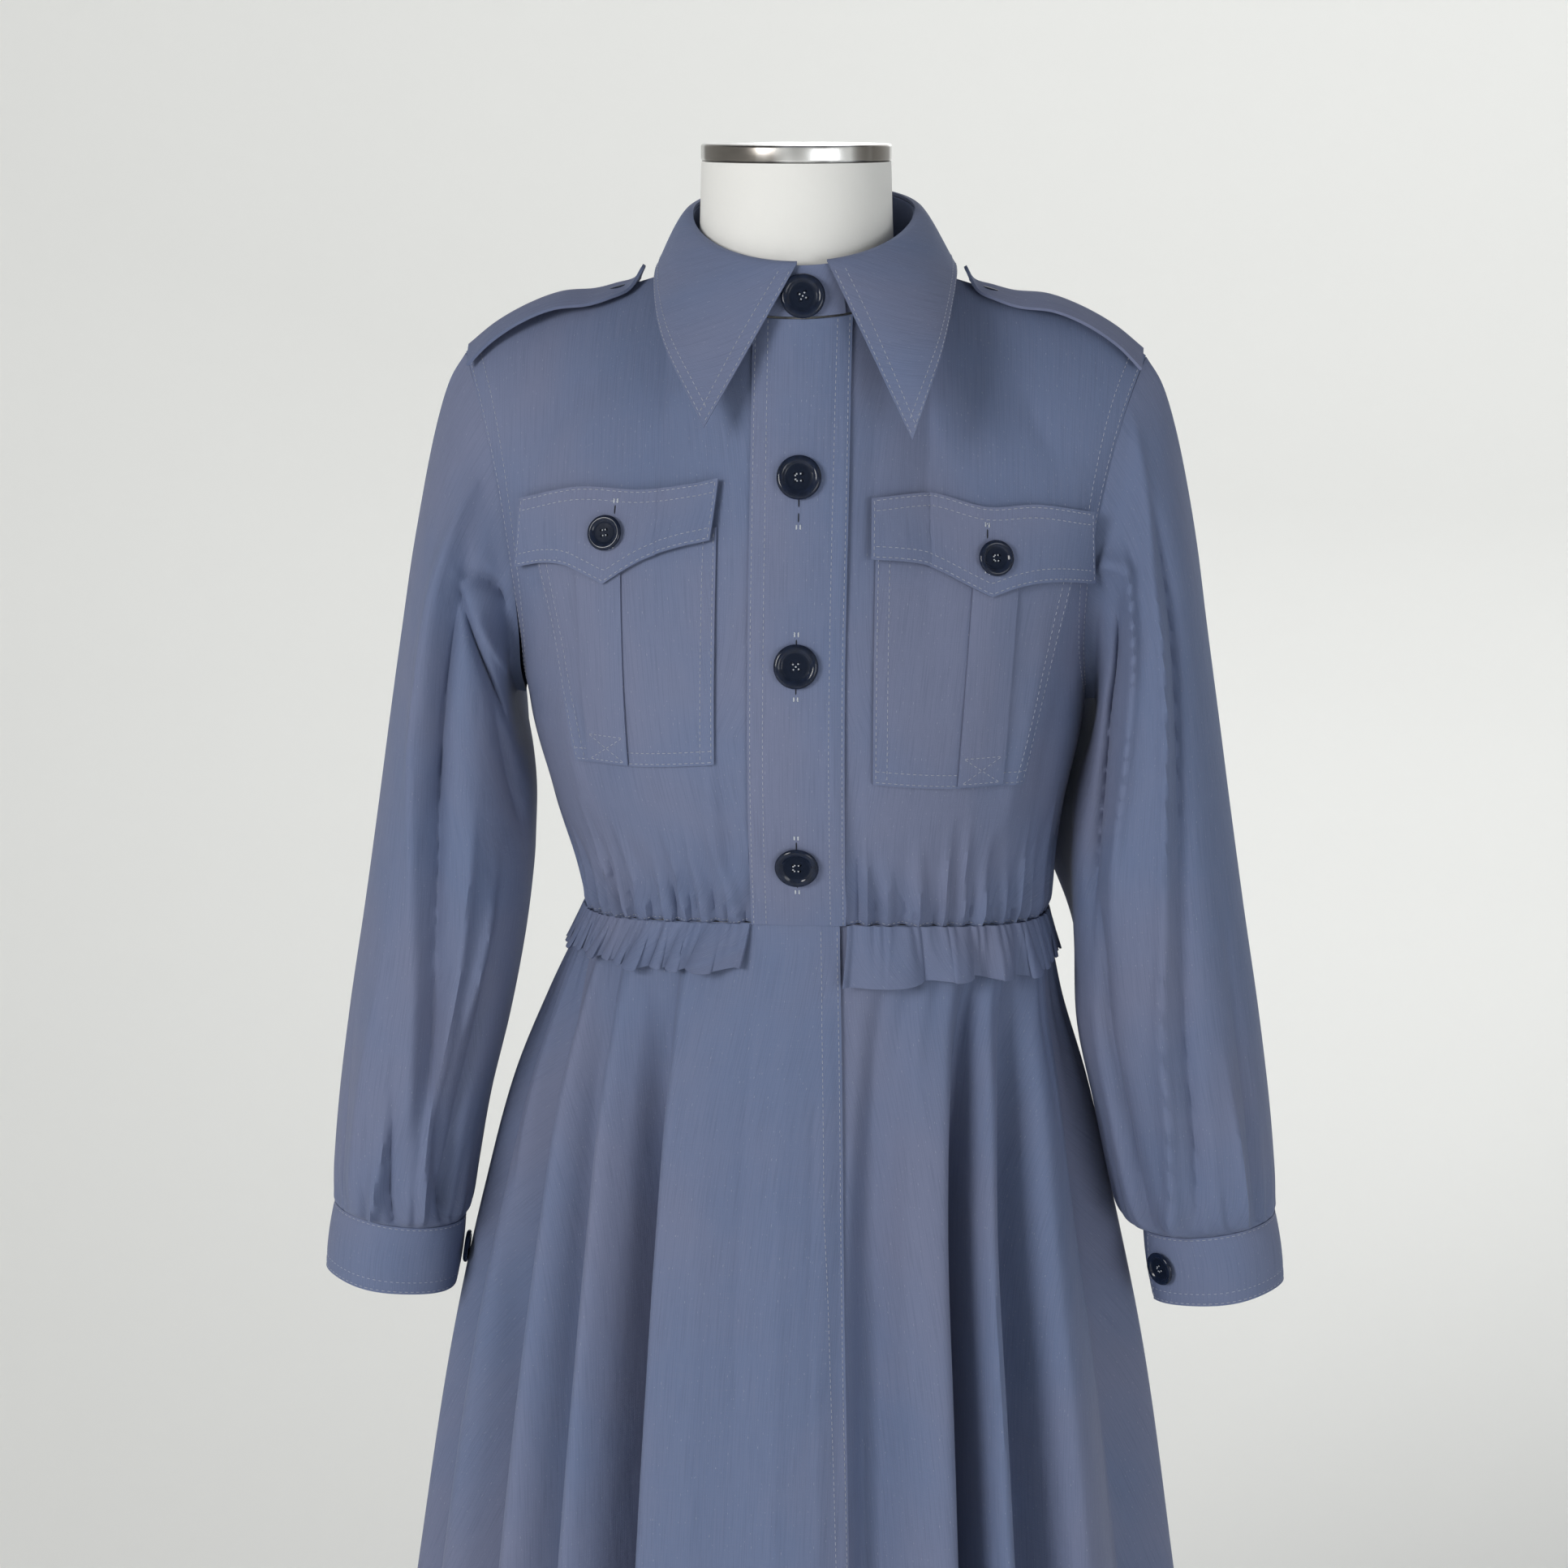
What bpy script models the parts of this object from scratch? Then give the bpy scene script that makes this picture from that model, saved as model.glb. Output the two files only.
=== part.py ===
"""Coat dress on a limbless dress form.

Metres, +Z up. The dress faces -Y, the wearer's right is -X, and the origin is on the floor under the
middle of the stand. Every cloth piece is a thin wall worked out from one shape of the worn garment:
a bodice that runs from the waist seam to the shoulder seam, and a flared skirt that hangs from the
same waist seam. Pieces that lie on a panel are made from that panel's own points, moved out.
"""

import math

import bmesh
import bpy
import numpy as np

for old in list(bpy.data.objects):
    bpy.data.objects.remove(old)

# Cloth
WALL = 0.0014
COLLAR_WALL = 0.0016
GAP = 0.0003
SEAM = GAP / 2
LAYER = WALL + GAP
FORM_EASE = 0.0045

# Heights of the main lines
HEM = 0.300
WAIST = 1.020
UNDERARM = 1.148
SHOULDER = 1.350
WAIST_RISE = {"front": 0.014, "back": 0.004}

# Button band and overlap. The button line hangs a little to the wearer's left of the stand's middle.
FRONT_X = 0.004
BAND_HALF = 0.027
BAND_TOP_DROP = 0.0025
SKIRT_UNDERLAP = 0.030
SKIRT_OVERLAP = {"waist": 0.0235, "hem": 0.0445}

# Neck and shoulder line
NECK_SHARE = 0.36
NECK_WIDE = 0.072
NECK_CENTRE_Y = 0.006
NECK_SIDE_Z = 1.398
NECK = {"front": (-0.075, 1.376), "back": (0.060, 1.412)}


def table(names, *rows):
    """A short table with named columns."""
    return {name: np.array([row[i] for row in rows], float) for i, name in enumerate(names.split())}


TORSO = table(
    "height half_width front_depth back_depth",
    (1.020, 0.1360, -0.100, 0.085),
    (1.050, 0.1415, -0.110, 0.091),
    (1.090, 0.1520, -0.121, 0.098),
    (1.148, 0.1645, -0.127, 0.106),
    (1.190, 0.1640, -0.124, 0.109),
    (1.232, 0.1670, -0.116, 0.108),
    (1.280, 0.1745, -0.104, 0.102),
    (1.324, 0.1865, -0.090, 0.090),
    (1.350, 0.1980, -0.080, 0.080),
)

# The edge of the armhole at each height, and how far round an oval the front and back reach there,
# in degrees. Below the underarm the side seam stands at y = 0 and each reaches a quarter round.
ARMHOLE = table(
    "height front_edge back_edge front_wrap back_wrap",
    (1.148, 0.000, 0.000, 90, 90),
    (1.168, -0.024, 0.028, 82, 83),
    (1.190, -0.036, 0.041, 76, 78),
    (1.232, -0.046, 0.052, 70, 72),
    (1.280, -0.042, 0.048, 65, 66),
    (1.324, -0.027, 0.031, 60, 60),
    (1.350, 0.000, 0.000, 60, 60),
)

SHOULDER_LINE = table(
    "share z",
    (0.00, NECK_SIDE_Z),
    (0.30, 1.3865),
    (0.60, 1.3750),
    (0.90, 1.3600),
    (1.00, SHOULDER),
)

SKIRT = table(
    "height half_width front_depth back_depth",
    (1.020, 0.1360, -0.100, 0.085),
    (0.964, 0.1520, -0.115, 0.103),
    (0.921, 0.1655, -0.126, 0.119),
    (0.839, 0.1835, -0.147, 0.144),
    (0.753, 0.2005, -0.165, 0.167),
    (0.600, 0.2240, -0.192, 0.196),
    (0.300, 0.2660, -0.238, 0.244),
)

# How far the middle of the dress hangs to the wearer's left at each height.
SWAY = table(
    "height x",
    (0.300, -0.0045),
    (0.600, -0.0045),
    (0.753, -0.0035),
    (0.839, -0.0030),
    (0.921, -0.0010),
    (0.964, 0.0015),
    (1.020, 0.0080),
    (1.090, 0.0040),
    (1.148, 0.0020),
    (1.232, 0.0000),
    (1.350, 0.0000),
)

# Folds of the skirt, all round, from the right side seam: the angle of each crest or valley from the
# front centre halfway down, counted towards the wearer's left, and how far it stands out at the hem,
# in millimetres. Both side seams are in valleys.
FOLDS = table(
    "angle out",
    (-52, -16), (-44.5, 16), (-37.5, -9), (-32, 15), (-23.5, -28), (-17, 13), (-5, 4), (5, 5),
    (12.5, -4), (16.5, -16), (26, 16), (32.5, -25), (38, 17), (44.5, -23), (54, 17), (73, -10),
    (86, 13), (97, -14), (109, 16), (121, -18), (132, 15), (144, -15), (157, 18), (169, -17),
    (180, 14), (192, -16), (204, 18), (215, -19), (227, 15), (238, -14), (250, 17), (262, -15),
    (274, 12), (286, -9), (298, 12), (308, -16),
)
SIDE_SEAMS = {"right": -52, "left": 73}

# Towards the waist the folds spread away from the front and back centres: how far, in degrees.
FOLD_SPREAD = 36
FOLD_SPREAD_REACH = 0.15

SLEEVE = table(
    "outer_x outer_z inner_x_right inner_x_left inner_z half_depth centre_y",
    (0.1980, 1.350, 0.1645, 0.1645, 1.148, 0.050, 0.000),
    (0.2075, 1.334, 0.1710, 0.1720, 1.148, 0.050, 0.000),
    (0.2155, 1.310, 0.1710, 0.1730, 1.136, 0.056, 0.000),
    (0.2230, 1.278, 0.1680, 0.1700, 1.120, 0.062, -0.001),
    (0.2305, 1.238, 0.1640, 0.1665, 1.106, 0.066, -0.002),
    (0.2375, 1.190, 0.1620, 0.1635, 1.088, 0.067, -0.004),
    (0.2455, 1.138, 0.1622, 0.1620, 1.066, 0.067, -0.007),
    (0.2540, 1.082, 0.1640, 0.1620, 1.038, 0.066, -0.009),
    (0.2635, 1.022, 0.1695, 0.1645, 0.998, 0.064, -0.011),
    (0.2735, 0.962, 0.1790, 0.1670, 0.950, 0.062, -0.014),
    (0.2815, 0.906, 0.1915, 0.1780, 0.900, 0.060, -0.016),
    (0.2857, 0.862, 0.2000, 0.1880, 0.856, 0.055, -0.018),
    (0.2865, 0.840, 0.2045, 0.1955, 0.832, 0.046, -0.019),
)
ARMHOLE_BLEND = (1.0, 1.0, 0.7, 0.4, 0.15)

# Long folds of the sleeves: angle round the sleeve from its outer edge towards the front, how far it
# stands out or in, its width in degrees, and the stretch of rings that it runs along.
SLEEVE_FOLDS = {
    "right": table(
        "angle out width first last",
        (62, 0.0050, 34, 1, 10),
        (95, -0.0065, 30, 2, 12),
        (150, 0.0040, 36, 5, 12),
        (300, 0.0045, 40, 2, 12),
        (250, -0.0055, 36, 4, 12),
    ),
    "left": table(
        "angle out width first last",
        (55, 0.0055, 32, 1, 9),
        (85, -0.0060, 28, 2, 12),
        (130, 0.0050, 36, 4, 12),
        (290, -0.0050, 40, 2, 12),
        (240, 0.0045, 36, 4, 12),
    ),
}

CUFF_HALF_WIDE = 0.0395
CUFF_HALF_DEEP = 0.0350
CUFF_HEIGHT = 0.044
CUFF_LEAN = math.radians(8)

BUTTON_COAT = (0.0125, 0.0034)
BUTTON_SMALL = (0.0102, 0.0030)
BUTTON_STRAP = (0.0085, 0.0026)

COLOURS = {
    "coat_cloth": ((0.125, 0.155, 0.235, 1), 0.85, 0.0),
    "button_navy": ((0.012, 0.018, 0.040, 1), 0.15, 0.0),
    "form_cloth": ((0.78, 0.77, 0.74, 1), 0.9, 0.0),
    "cap_chrome": ((0.80, 0.80, 0.80, 1), 0.08, 1.0),
    "stand_steel": ((0.62, 0.63, 0.65, 1), 0.3, 1.0),
}


def material(name):
    """A Principled BSDF with the finish that COLOURS gives."""
    found = bpy.data.materials.get(name)
    if found:
        return found
    made = bpy.data.materials.new(name)
    made.use_nodes = True
    colour, roughness, metallic = COLOURS[name]
    made.diffuse_color = colour
    shader = made.node_tree.nodes["Principled BSDF"]
    shader.inputs["Base Color"].default_value = colour
    shader.inputs["Roughness"].default_value = roughness
    shader.inputs["Metallic"].default_value = metallic
    return made


def along(rows, key, name, at):
    """A column of a table at given places along another column, on a smooth curve through its rows."""
    x, y = rows[key], rows[name]
    if x[0] > x[-1]:
        x, y = x[::-1], y[::-1]
    at = np.clip(np.asarray(at, float), x[0], x[-1])
    slope = np.gradient(y, x)
    i = np.clip(np.searchsorted(x, at) - 1, 0, len(x) - 2)
    step = x[i + 1] - x[i]
    t = (at - x[i]) / step
    return (
        (2 * t**3 - 3 * t**2 + 1) * y[i]
        + (t**3 - 2 * t**2 + t) * step * slope[i]
        + (3 * t**2 - 2 * t**3) * y[i + 1]
        + (t**3 - t**2) * step * slope[i + 1]
    )


def unit(vectors):
    """The vectors at length 1."""
    return vectors / np.maximum(np.linalg.norm(vectors, axis=-1, keepdims=True), 1e-12)


def rise(t):
    """0 to 1 with a smooth start and end."""
    t = np.clip(t, 0, 1)
    return t * t * (3 - 2 * t)


# The worn shape of the bodice


def waist_rise(face, share):
    """How far the waist seam rides up, most at the middle of the front and the back."""
    return WAIST_RISE[face] * np.cos(share * math.pi / 2) ** 2


def top_line(face, share):
    """The neckline, from the centre out, and then the shoulder seam, to the shoulder point."""
    centre_y, centre_z = NECK[face]
    turn = np.clip(share / NECK_SHARE, 0, 1) * math.pi / 2
    out = np.clip((share - NECK_SHARE) / (1 - NECK_SHARE), 0, 1)
    on_neck = share < NECK_SHARE
    x = np.where(on_neck, NECK_WIDE * np.sin(turn), NECK_WIDE + (TORSO["half_width"][-1] - NECK_WIDE) * out)
    y = np.where(
        on_neck,
        NECK_CENTRE_Y + (centre_y - NECK_CENTRE_Y) * np.cos(turn),
        NECK_CENTRE_Y * (1 - out),
    )
    neck_z = centre_z + (NECK_SIDE_Z - centre_z) * (1 - np.cos(turn))
    z = np.where(on_neck, neck_z, along(SHOULDER_LINE, "share", "z", out))
    return np.stack([x, y, z], -1)


def bodice(face, share, height):
    """A point on the middle of the cloth. Share runs from -1 at the wearer's right edge to 1, and
    height is that of the side seam or armhole edge on the same row."""
    share, height = np.broadcast_arrays(np.asarray(share, float), np.asarray(height, float))
    size = np.abs(share)
    half = along(TORSO, "height", "half_width", height)
    edge_y = along(ARMHOLE, "height", face + "_edge", height)
    depth = along(TORSO, "height", face + "_depth", height)
    wrap = np.radians(along(ARMHOLE, "height", face + "_wrap", height))
    turn = size * wrap
    x = half * np.sin(turn) / np.sin(wrap)
    y = edge_y + (depth - edge_y) * (np.cos(turn) - np.cos(wrap)) / (1 - np.cos(wrap))
    sink = 1 - rise((height - WAIST) / (UNDERARM - WAIST))
    z = height + waist_rise(face, size) * sink
    low = np.stack([x, y, z], -1)
    near_top = np.clip((height - UNDERARM) / (SHOULDER - UNDERARM), 0, 1)
    blend = (near_top ** (2 + 6 * size**4))[..., None]
    point = low * (1 - blend) + top_line(face, size) * blend
    point[..., 0] = point[..., 0] * np.sign(share) + along(SWAY, "height", "x", height)
    return point


def bodice_normal(face, share, height):
    """The cloth's outward direction at a point of the bodice."""
    step = 1e-3
    share, height = np.broadcast_arrays(np.asarray(share, float), np.asarray(height, float))
    after, before = np.clip(share + step, -1, 1), np.clip(share - step, -1, 1)
    up, down = np.clip(height + step, WAIST, SHOULDER), np.clip(height - step, WAIST, SHOULDER)
    sides = bodice(face, after, height) - bodice(face, before, height)
    rows = bodice(face, share, up) - bodice(face, share, down)
    out = np.cross(sides, rows) if face == "front" else np.cross(rows, sides)
    return unit(out)


def seam_normal(face, share, height):
    """The outward direction shared by the pieces that meet at a seam: level at the waist and the side
    seams, and the mean of front and back along the shoulder."""
    out = bodice_normal(face, share, height)
    share, height = np.broadcast_arrays(np.asarray(share, float), np.asarray(height, float))
    other = bodice_normal("back" if face == "front" else "front", share, height)
    on_shoulder = (height > SHOULDER - 1e-6) & (np.abs(share) > NECK_SHARE - 1e-6)
    at_side = (np.abs(share) > 1 - 1e-6) & (height < UNDERARM + 1e-6)
    level = np.array([1.0, 1.0, 0.0])
    out = np.where(on_shoulder[..., None], unit(out + other), out)
    out = np.where(at_side[..., None], unit((out + other) * level), out)
    out = np.where((height < WAIST + 1e-6)[..., None], unit(out * level), out)
    return out


def share_at(face, x, height):
    """The share at which a row of the bodice has the given x."""
    low, high = -1.0, 1.0
    for _ in range(40):
        middle = (low + high) / 2
        near = bodice(face, middle, height)[..., 0] < x
        low, high = np.where(near, middle, low), np.where(near, high, middle)
    return (low + high) / 2


def front_at(x, z):
    """The share and row height at which the front has the given x and z."""
    wide = TORSO["half_width"][-1]
    share, height = x / wide, z
    for _ in range(60):
        point = bodice("front", share, height)
        share = share + (x - point[..., 0]) / wide
        height = height + (z - point[..., 2]) * 0.7
    return share, height


# Building walls from rows of points


def finish(mesh, name, finish_name):
    """Turns a bmesh into a named object with its material. Faces are split along their shorter
    diagonal, so that layers that lie on each other bend alike."""
    bmesh.ops.remove_doubles(mesh, verts=mesh.verts, dist=1e-6)
    bmesh.ops.triangulate(mesh, faces=mesh.faces, quad_method="SHORT_EDGE")
    bmesh.ops.recalc_face_normals(mesh, faces=mesh.faces)
    data = bpy.data.meshes.new(name)
    mesh.to_mesh(data)
    mesh.free()
    data.shade_smooth()
    data.set_sharp_from_angle(angle=math.radians(50))
    data.materials.append(material(finish_name))
    piece = bpy.data.objects.new(name, data)
    bpy.context.scene.collection.objects.link(piece)
    return piece


def strip(mesh, low, high, around):
    """Faces between two rows of vertices. A row may have twice as many steps as the next."""
    steps = (len(low) if around else len(low) - 1), (len(high) if around else len(high) - 1)
    for i in range(min(steps)):
        per_low, per_high = steps[0] // min(steps), steps[1] // min(steps)
        under = [low[(i * per_low + k) % len(low)] for k in range(per_low + 1)]
        over = [high[(i * per_high + k) % len(high)] for k in range(per_high + 1)]
        mesh.faces.new(under + over[::-1])


def wall(name, rows, normals, thickness, finish_name="coat_cloth", around=False):
    """A closed wall of cloth. Rows are lists of points on its middle, and normals their outward
    directions; the wall is half its thickness to each side. Around joins the ends of each row."""
    mesh = bmesh.new()
    layers = []
    for side in (0.5, -0.5):
        layers.append([
            [mesh.verts.new(p) for p in points + out * thickness * side]
            for points, out in zip(rows, normals)
        ])
    for layer in layers:
        for low, high in zip(layer, layer[1:]):
            strip(mesh, low, high, around)
    outer, inner = layers
    for end in (0, -1):
        strip(mesh, outer[end], inner[end], around)
    if not around:
        for end in (0, -1):
            strip(mesh, [row[end] for row in outer], [row[end] for row in inner], False)
    return finish(mesh, name, finish_name)


def grid_normals(points, around):
    """Outward directions of a grid of points, from the steps to its neighbours."""
    if around:
        sides = np.roll(points, -1, 1) - np.roll(points, 1, 1)
    else:
        sides = np.gradient(points, axis=1)
    rows = np.gradient(points, axis=0)
    return unit(np.cross(sides, rows))


def moved_in(points, distance, ends):
    """Rows of points with their ends drawn in by a distance, to leave room at the seams."""
    made = points.copy()
    for end, inner in ends:
        made[end] += unit(made[inner] - made[end]) * distance
    return made


# Bodice panels

FINE_ROWS = (WAIST, 1.034, 1.054, 1.082)
COARSE_ROWS = (1.116, UNDERARM, 1.168, 1.190, 1.216, 1.246, 1.276, 1.302, 1.324, 1.339, SHOULDER)
NECK_STEPS = 4
SHOULDER_STEPS = 7
ARM_ROWS = [h for h in COARSE_ROWS if h >= UNDERARM]
GATHER_DEPTH = 0.0017
GATHER_TOP = 1.112


def gathered(points, out, height, shares):
    """Rows near the waist drawn into small folds, one crest for each pair of fine columns."""
    wave = np.where(np.arange(len(shares)) % 2 == 1, 1.0, -1.0)
    reach = 0.75 + 0.25 * np.sin(7.3 * shares + 2.1)
    fade = 1 - rise((height - WAIST) / (GATHER_TOP - WAIST) / reach)
    level = unit(out * np.array([1.0, 1.0, 0.0]))
    wave[0] = wave[-1] = 0
    return points + level * (GATHER_DEPTH * wave * fade)[:, None]


def half_shares(start):
    """Columns of half a panel: from its inner edge to the neck point, then to the side."""
    neck = np.linspace(start, NECK_SHARE, NECK_STEPS + 1)[:-1]
    return np.concatenate([neck, np.linspace(NECK_SHARE, 1, SHOULDER_STEPS + 1)])


def all_shares():
    """Columns of a whole back or front, from the wearer's right side to the left side."""
    return np.concatenate([-half_shares(0)[:0:-1], half_shares(0)])


def doubled(shares):
    """The same columns with one more between each pair."""
    made = np.empty(2 * len(shares) - 1)
    made[0::2], made[1::2] = shares, (shares[:-1] + shares[1:]) / 2
    return made


def panel(name, face, shares_at, lift=0.0, top_drop=0.0, gathers=True):
    """A bodice panel. shares_at gives its coarse columns at a row's height."""
    rows, normals = [], []
    for height in FINE_ROWS + COARSE_ROWS:
        fine = height in FINE_ROWS
        shares = doubled(shares_at(height)) if fine else shares_at(height)
        out = seam_normal(face, shares, np.full_like(shares, height))
        points = bodice(face, shares, np.full_like(shares, height)) + out * lift
        if fine and gathers:
            on_band = (np.abs(points[:, 0] - FRONT_X) < BAND_HALF + GAP) & (face == "front")
            points = np.where(on_band[:, None], points, gathered(points, out, height, shares))
        if height == WAIST:
            points[:, 2] += SEAM
        points = moved_in(points, SEAM, ((0, 1), (-1, -2)))
        rows.append(points)
        normals.append(out)
    rows[-1] = rows[-1] + unit(rows[-2] - rows[-1]) * (SEAM + top_drop)
    wall(name, rows, normals, WALL)


def band_share(place, height):
    """The share of a place across the button band: -1 and 1 are its edges."""
    return share_at("front", FRONT_X + place * BAND_HALF, height)


def right_shares(height):
    """Columns of the right front, which ends at the band's edge."""
    return -half_shares(-band_share(-1, height))[::-1]


def left_shares(height):
    """Columns of the left front, which runs on under the band."""
    under = [band_share(-1, height), band_share(0, height)]
    return np.concatenate([under, half_shares(band_share(1, height))])


def band_shares(height):
    """Columns of the band: its edges and its middle."""
    return np.array([band_share(place, height) for place in (-1, 0, 1)])


panel("front_right", "front", right_shares)
panel("front_left", "front", left_shares)
panel("button_band", "front", band_shares, lift=LAYER, top_drop=BAND_TOP_DROP, gathers=False)
panel("back", "back", lambda height: all_shares()[::-1])


# Skirt


def fold_out(angle):
    """How far the skirt stands out at an angle, at the hem: cosine steps from crest to valley."""
    angle = (np.asarray(angle, float) - FOLDS["angle"][0]) % 360 + FOLDS["angle"][0]
    i = np.clip(np.searchsorted(FOLDS["angle"], angle, side="right") - 1, 0, len(FOLDS["angle"]) - 2)
    first, last = FOLDS["angle"][i], FOLDS["angle"][i + 1]
    mix = (1 - np.cos(math.pi * (angle - first) / (last - first))) / 2
    return (FOLDS["out"][i] * (1 - mix) + FOLDS["out"][i + 1] * mix) / 1000


def spread(drop):
    """How far the folds are spread at a share of the way down, in degrees."""
    return FOLD_SPREAD * (np.exp(-drop / FOLD_SPREAD_REACH) - math.exp(-0.5 / FOLD_SPREAD_REACH))


def turned_angle(angle, drop):
    """The angle at which a fold of the given angle really stands at a share of the way down."""
    return angle + spread(drop) * np.sin(2 * np.radians(angle)) / 2


def fold_angle(turned, drop):
    """The angle of the fold that stands at the given angle: the inverse of turned_angle."""
    angle = np.asarray(turned, float)
    for _ in range(30):
        angle = angle - (turned_angle(angle, drop) - turned) * 0.6
    return angle


def skirt(angle, drop):
    """A point on the middle of the skirt's cloth, for a fold angle in degrees and a share of the way
    from the waist seam to the hem."""
    angle, drop = np.broadcast_arrays(np.asarray(angle, float), np.asarray(drop, float))
    turn = np.radians(turned_angle(angle, drop))
    front = np.cos(turn) > 0
    share = np.abs(np.arcsin(np.clip(np.sin(turn), -1, 1))) / (math.pi / 2)
    level = WAIST + (HEM - WAIST) * drop
    half = along(SKIRT, "height", "half_width", level)
    depth = np.where(
        front,
        along(SKIRT, "height", "front_depth", level),
        along(SKIRT, "height", "back_depth", level),
    )
    lifted = np.where(front, waist_rise("front", share), waist_rise("back", share))
    x = half * np.sin(turn) + along(SWAY, "height", "x", level)
    y = np.abs(depth) * -np.cos(turn)
    z = level + lifted * (1 - drop)
    out = unit(np.stack([np.sin(turn) / half, -np.cos(turn) / np.abs(depth), np.zeros_like(x)], -1))
    reach = fold_out(angle) * drop**0.8
    return np.stack([x, y, z], -1) + out * reach[..., None]


def skirt_normal(angle, drop):
    """The skirt's outward direction."""
    turn, fall = 1.2, 0.004
    angle, drop = np.broadcast_arrays(np.asarray(angle, float), np.asarray(drop, float))
    across = skirt(angle + turn, drop) - skirt(angle - turn, drop)
    down = skirt(angle, np.minimum(drop + fall, 1)) - skirt(angle, np.maximum(drop - fall, 0))
    out = unit(np.cross(down, across))
    level = unit(out * np.array([1.0, 1.0, 0.0]))
    return np.where((drop < 1e-6)[..., None], level, out)


DROPS = np.array([0.0, 0.06, 0.15, 0.29, 0.48, 0.72, 1.0])
FOLD_ROUND = 0.24


def fold_angles(first, last):
    """The columns of a skirt panel: its two edges, and one at each side of each crest and valley,
    so that these are rounded."""
    inside = FOLDS["angle"][(FOLDS["angle"] >= first) & (FOLDS["angle"] <= last)]
    step = np.diff(inside)
    before, after = inside[:-1] + step * FOLD_ROUND, inside[1:] - step * FOLD_ROUND
    return np.concatenate([[inside[0]], np.stack([before, after], 1).ravel(), [inside[-1]]])


def skirt_angle(x, height):
    """The angle at which the front of the skirt has the given x, with no fold."""
    half = along(SKIRT, "height", "half_width", height)
    return np.degrees(np.arcsin((x - along(SWAY, "height", "x", height)) / half))


def overlap_angles(drop):
    """Columns of the front overlap at one height, from the under edge to the upper edge."""
    edge = SKIRT_OVERLAP["waist"] + (SKIRT_OVERLAP["hem"] - SKIRT_OVERLAP["waist"]) * drop
    across = np.linspace(FRONT_X - SKIRT_UNDERLAP, FRONT_X + edge, 4)
    return fold_angle(skirt_angle(across, WAIST + (HEM - WAIST) * drop), drop)


def skirt_panel(name, angles_at, layer_at):
    """A skirt panel. angles_at gives its columns at each height, and layer_at how far each column
    is moved out or in where the fronts overlap."""
    points = np.array([skirt(angles_at(drop), drop) for drop in DROPS])
    out = np.array([skirt_normal(angles_at(drop), drop) for drop in DROPS])
    points = points + out * layer_at(DROPS)[..., None]
    points[0, :, 2] -= SEAM
    points[:, 0] += unit(points[:, 1] - points[:, 0]) * SEAM
    points[:, -1] += unit(points[:, -2] - points[:, -1]) * SEAM
    wall(name, list(points), list(out), WALL)


LAP = LAYER / 2
RIGHT_FOLDS = fold_angles(SIDE_SEAMS["right"], -17)
LEFT_FOLDS = fold_angles(12.5, SIDE_SEAMS["left"])
skirt_panel(
    "skirt_front_right",
    lambda drop: np.concatenate([RIGHT_FOLDS, overlap_angles(drop)]),
    lambda drops: np.tile(np.r_[np.zeros(len(RIGHT_FOLDS)), np.full(4, LAP)], (len(drops), 1)),
)
skirt_panel(
    "skirt_front_left",
    lambda drop: np.concatenate([overlap_angles(drop), LEFT_FOLDS]),
    lambda drops: np.tile(np.r_[np.full(4, -LAP), np.zeros(len(LEFT_FOLDS))], (len(drops), 1)),
)
BACK_FOLDS = fold_angles(SIDE_SEAMS["left"], SIDE_SEAMS["right"] + 360)
skirt_panel("skirt_back", lambda drop: BACK_FOLDS, lambda drops: np.zeros((len(drops), len(BACK_FOLDS))))


# Waist frill

FRILL_ROWS = (0.0, 0.35, 1.0)
FRILL_STEPS = 3


def frill(name, angles, waves, drop, crowd=(1.0, 1.0)):
    """A gathered strip below the waist seam: it hangs outside the skirt, in one wave a gather. The
    powers in crowd draw the waves together towards the first or the last end."""
    place = np.linspace(0, 1, waves * FRILL_STEPS + 1)
    place = 1 - (1 - place ** crowd[0]) ** crowd[1]
    angles = angles[0] + (angles[1] - angles[0]) * place
    phase = np.arange(len(angles)) / FRILL_STEPS * 2 * math.pi
    ends = np.minimum(np.arange(len(angles)), np.arange(len(angles))[::-1]) / FRILL_STEPS
    uneven = 1 + 0.35 * np.sin(angles * 0.23 + 1.0)
    turn = np.radians(angles)
    out = unit(np.stack([np.sin(turn), -1.3 * np.cos(turn), 0 * turn], -1))
    rows = []
    for share in FRILL_ROWS:
        fall = drop * share * (1 + 0.05 * np.sin(angles * 0.11)) / (WAIST - HEM)
        wave = (0.0010 + 0.0040 * share) * np.sin(phase) * rise(ends) * uneven
        stand = LAYER + 0.0018 + (0.0030 + 0.0040 * np.abs(np.cos(turn))) * share
        points = skirt(fold_angle(angles, fall), fall) + out * (stand + wave)[:, None]
        if share == 0:
            points[:, 2] -= SEAM
        rows.append(moved_in(points, SEAM, ((0, 1), (-1, -2))))
    points = np.array(rows)
    normals = grid_normals(points, False)
    normals[0] = unit(normals[0] * np.array([1.0, 1.0, 0.0]))
    wall(name, rows, list(normals), WALL)


frill("frill_right", (-90, skirt_angle(FRONT_X - BAND_HALF - GAP, WAIST)), 12, 0.0290, (1.0, 1.15))
frill("frill_left", (skirt_angle(FRONT_X + BAND_HALF + GAP, WAIST), 90), 9, 0.0335, (0.72, 1.0))
frill("frill_back", (90, 270), 22, 0.0310)


# Sleeves


CUFF_CENTRE = (0.2480, -0.020, 0.8270)
CUFF_STEPS = 28
CUFF_LAP_STEPS = 3
CUFF_CLOSING = {"right": 183, "left": 138}
CUFF_RAISED = {"right": 0.0, "left": 0.006}
CUFF_ROWS = (0.0, 0.5, 1.0)


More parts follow.
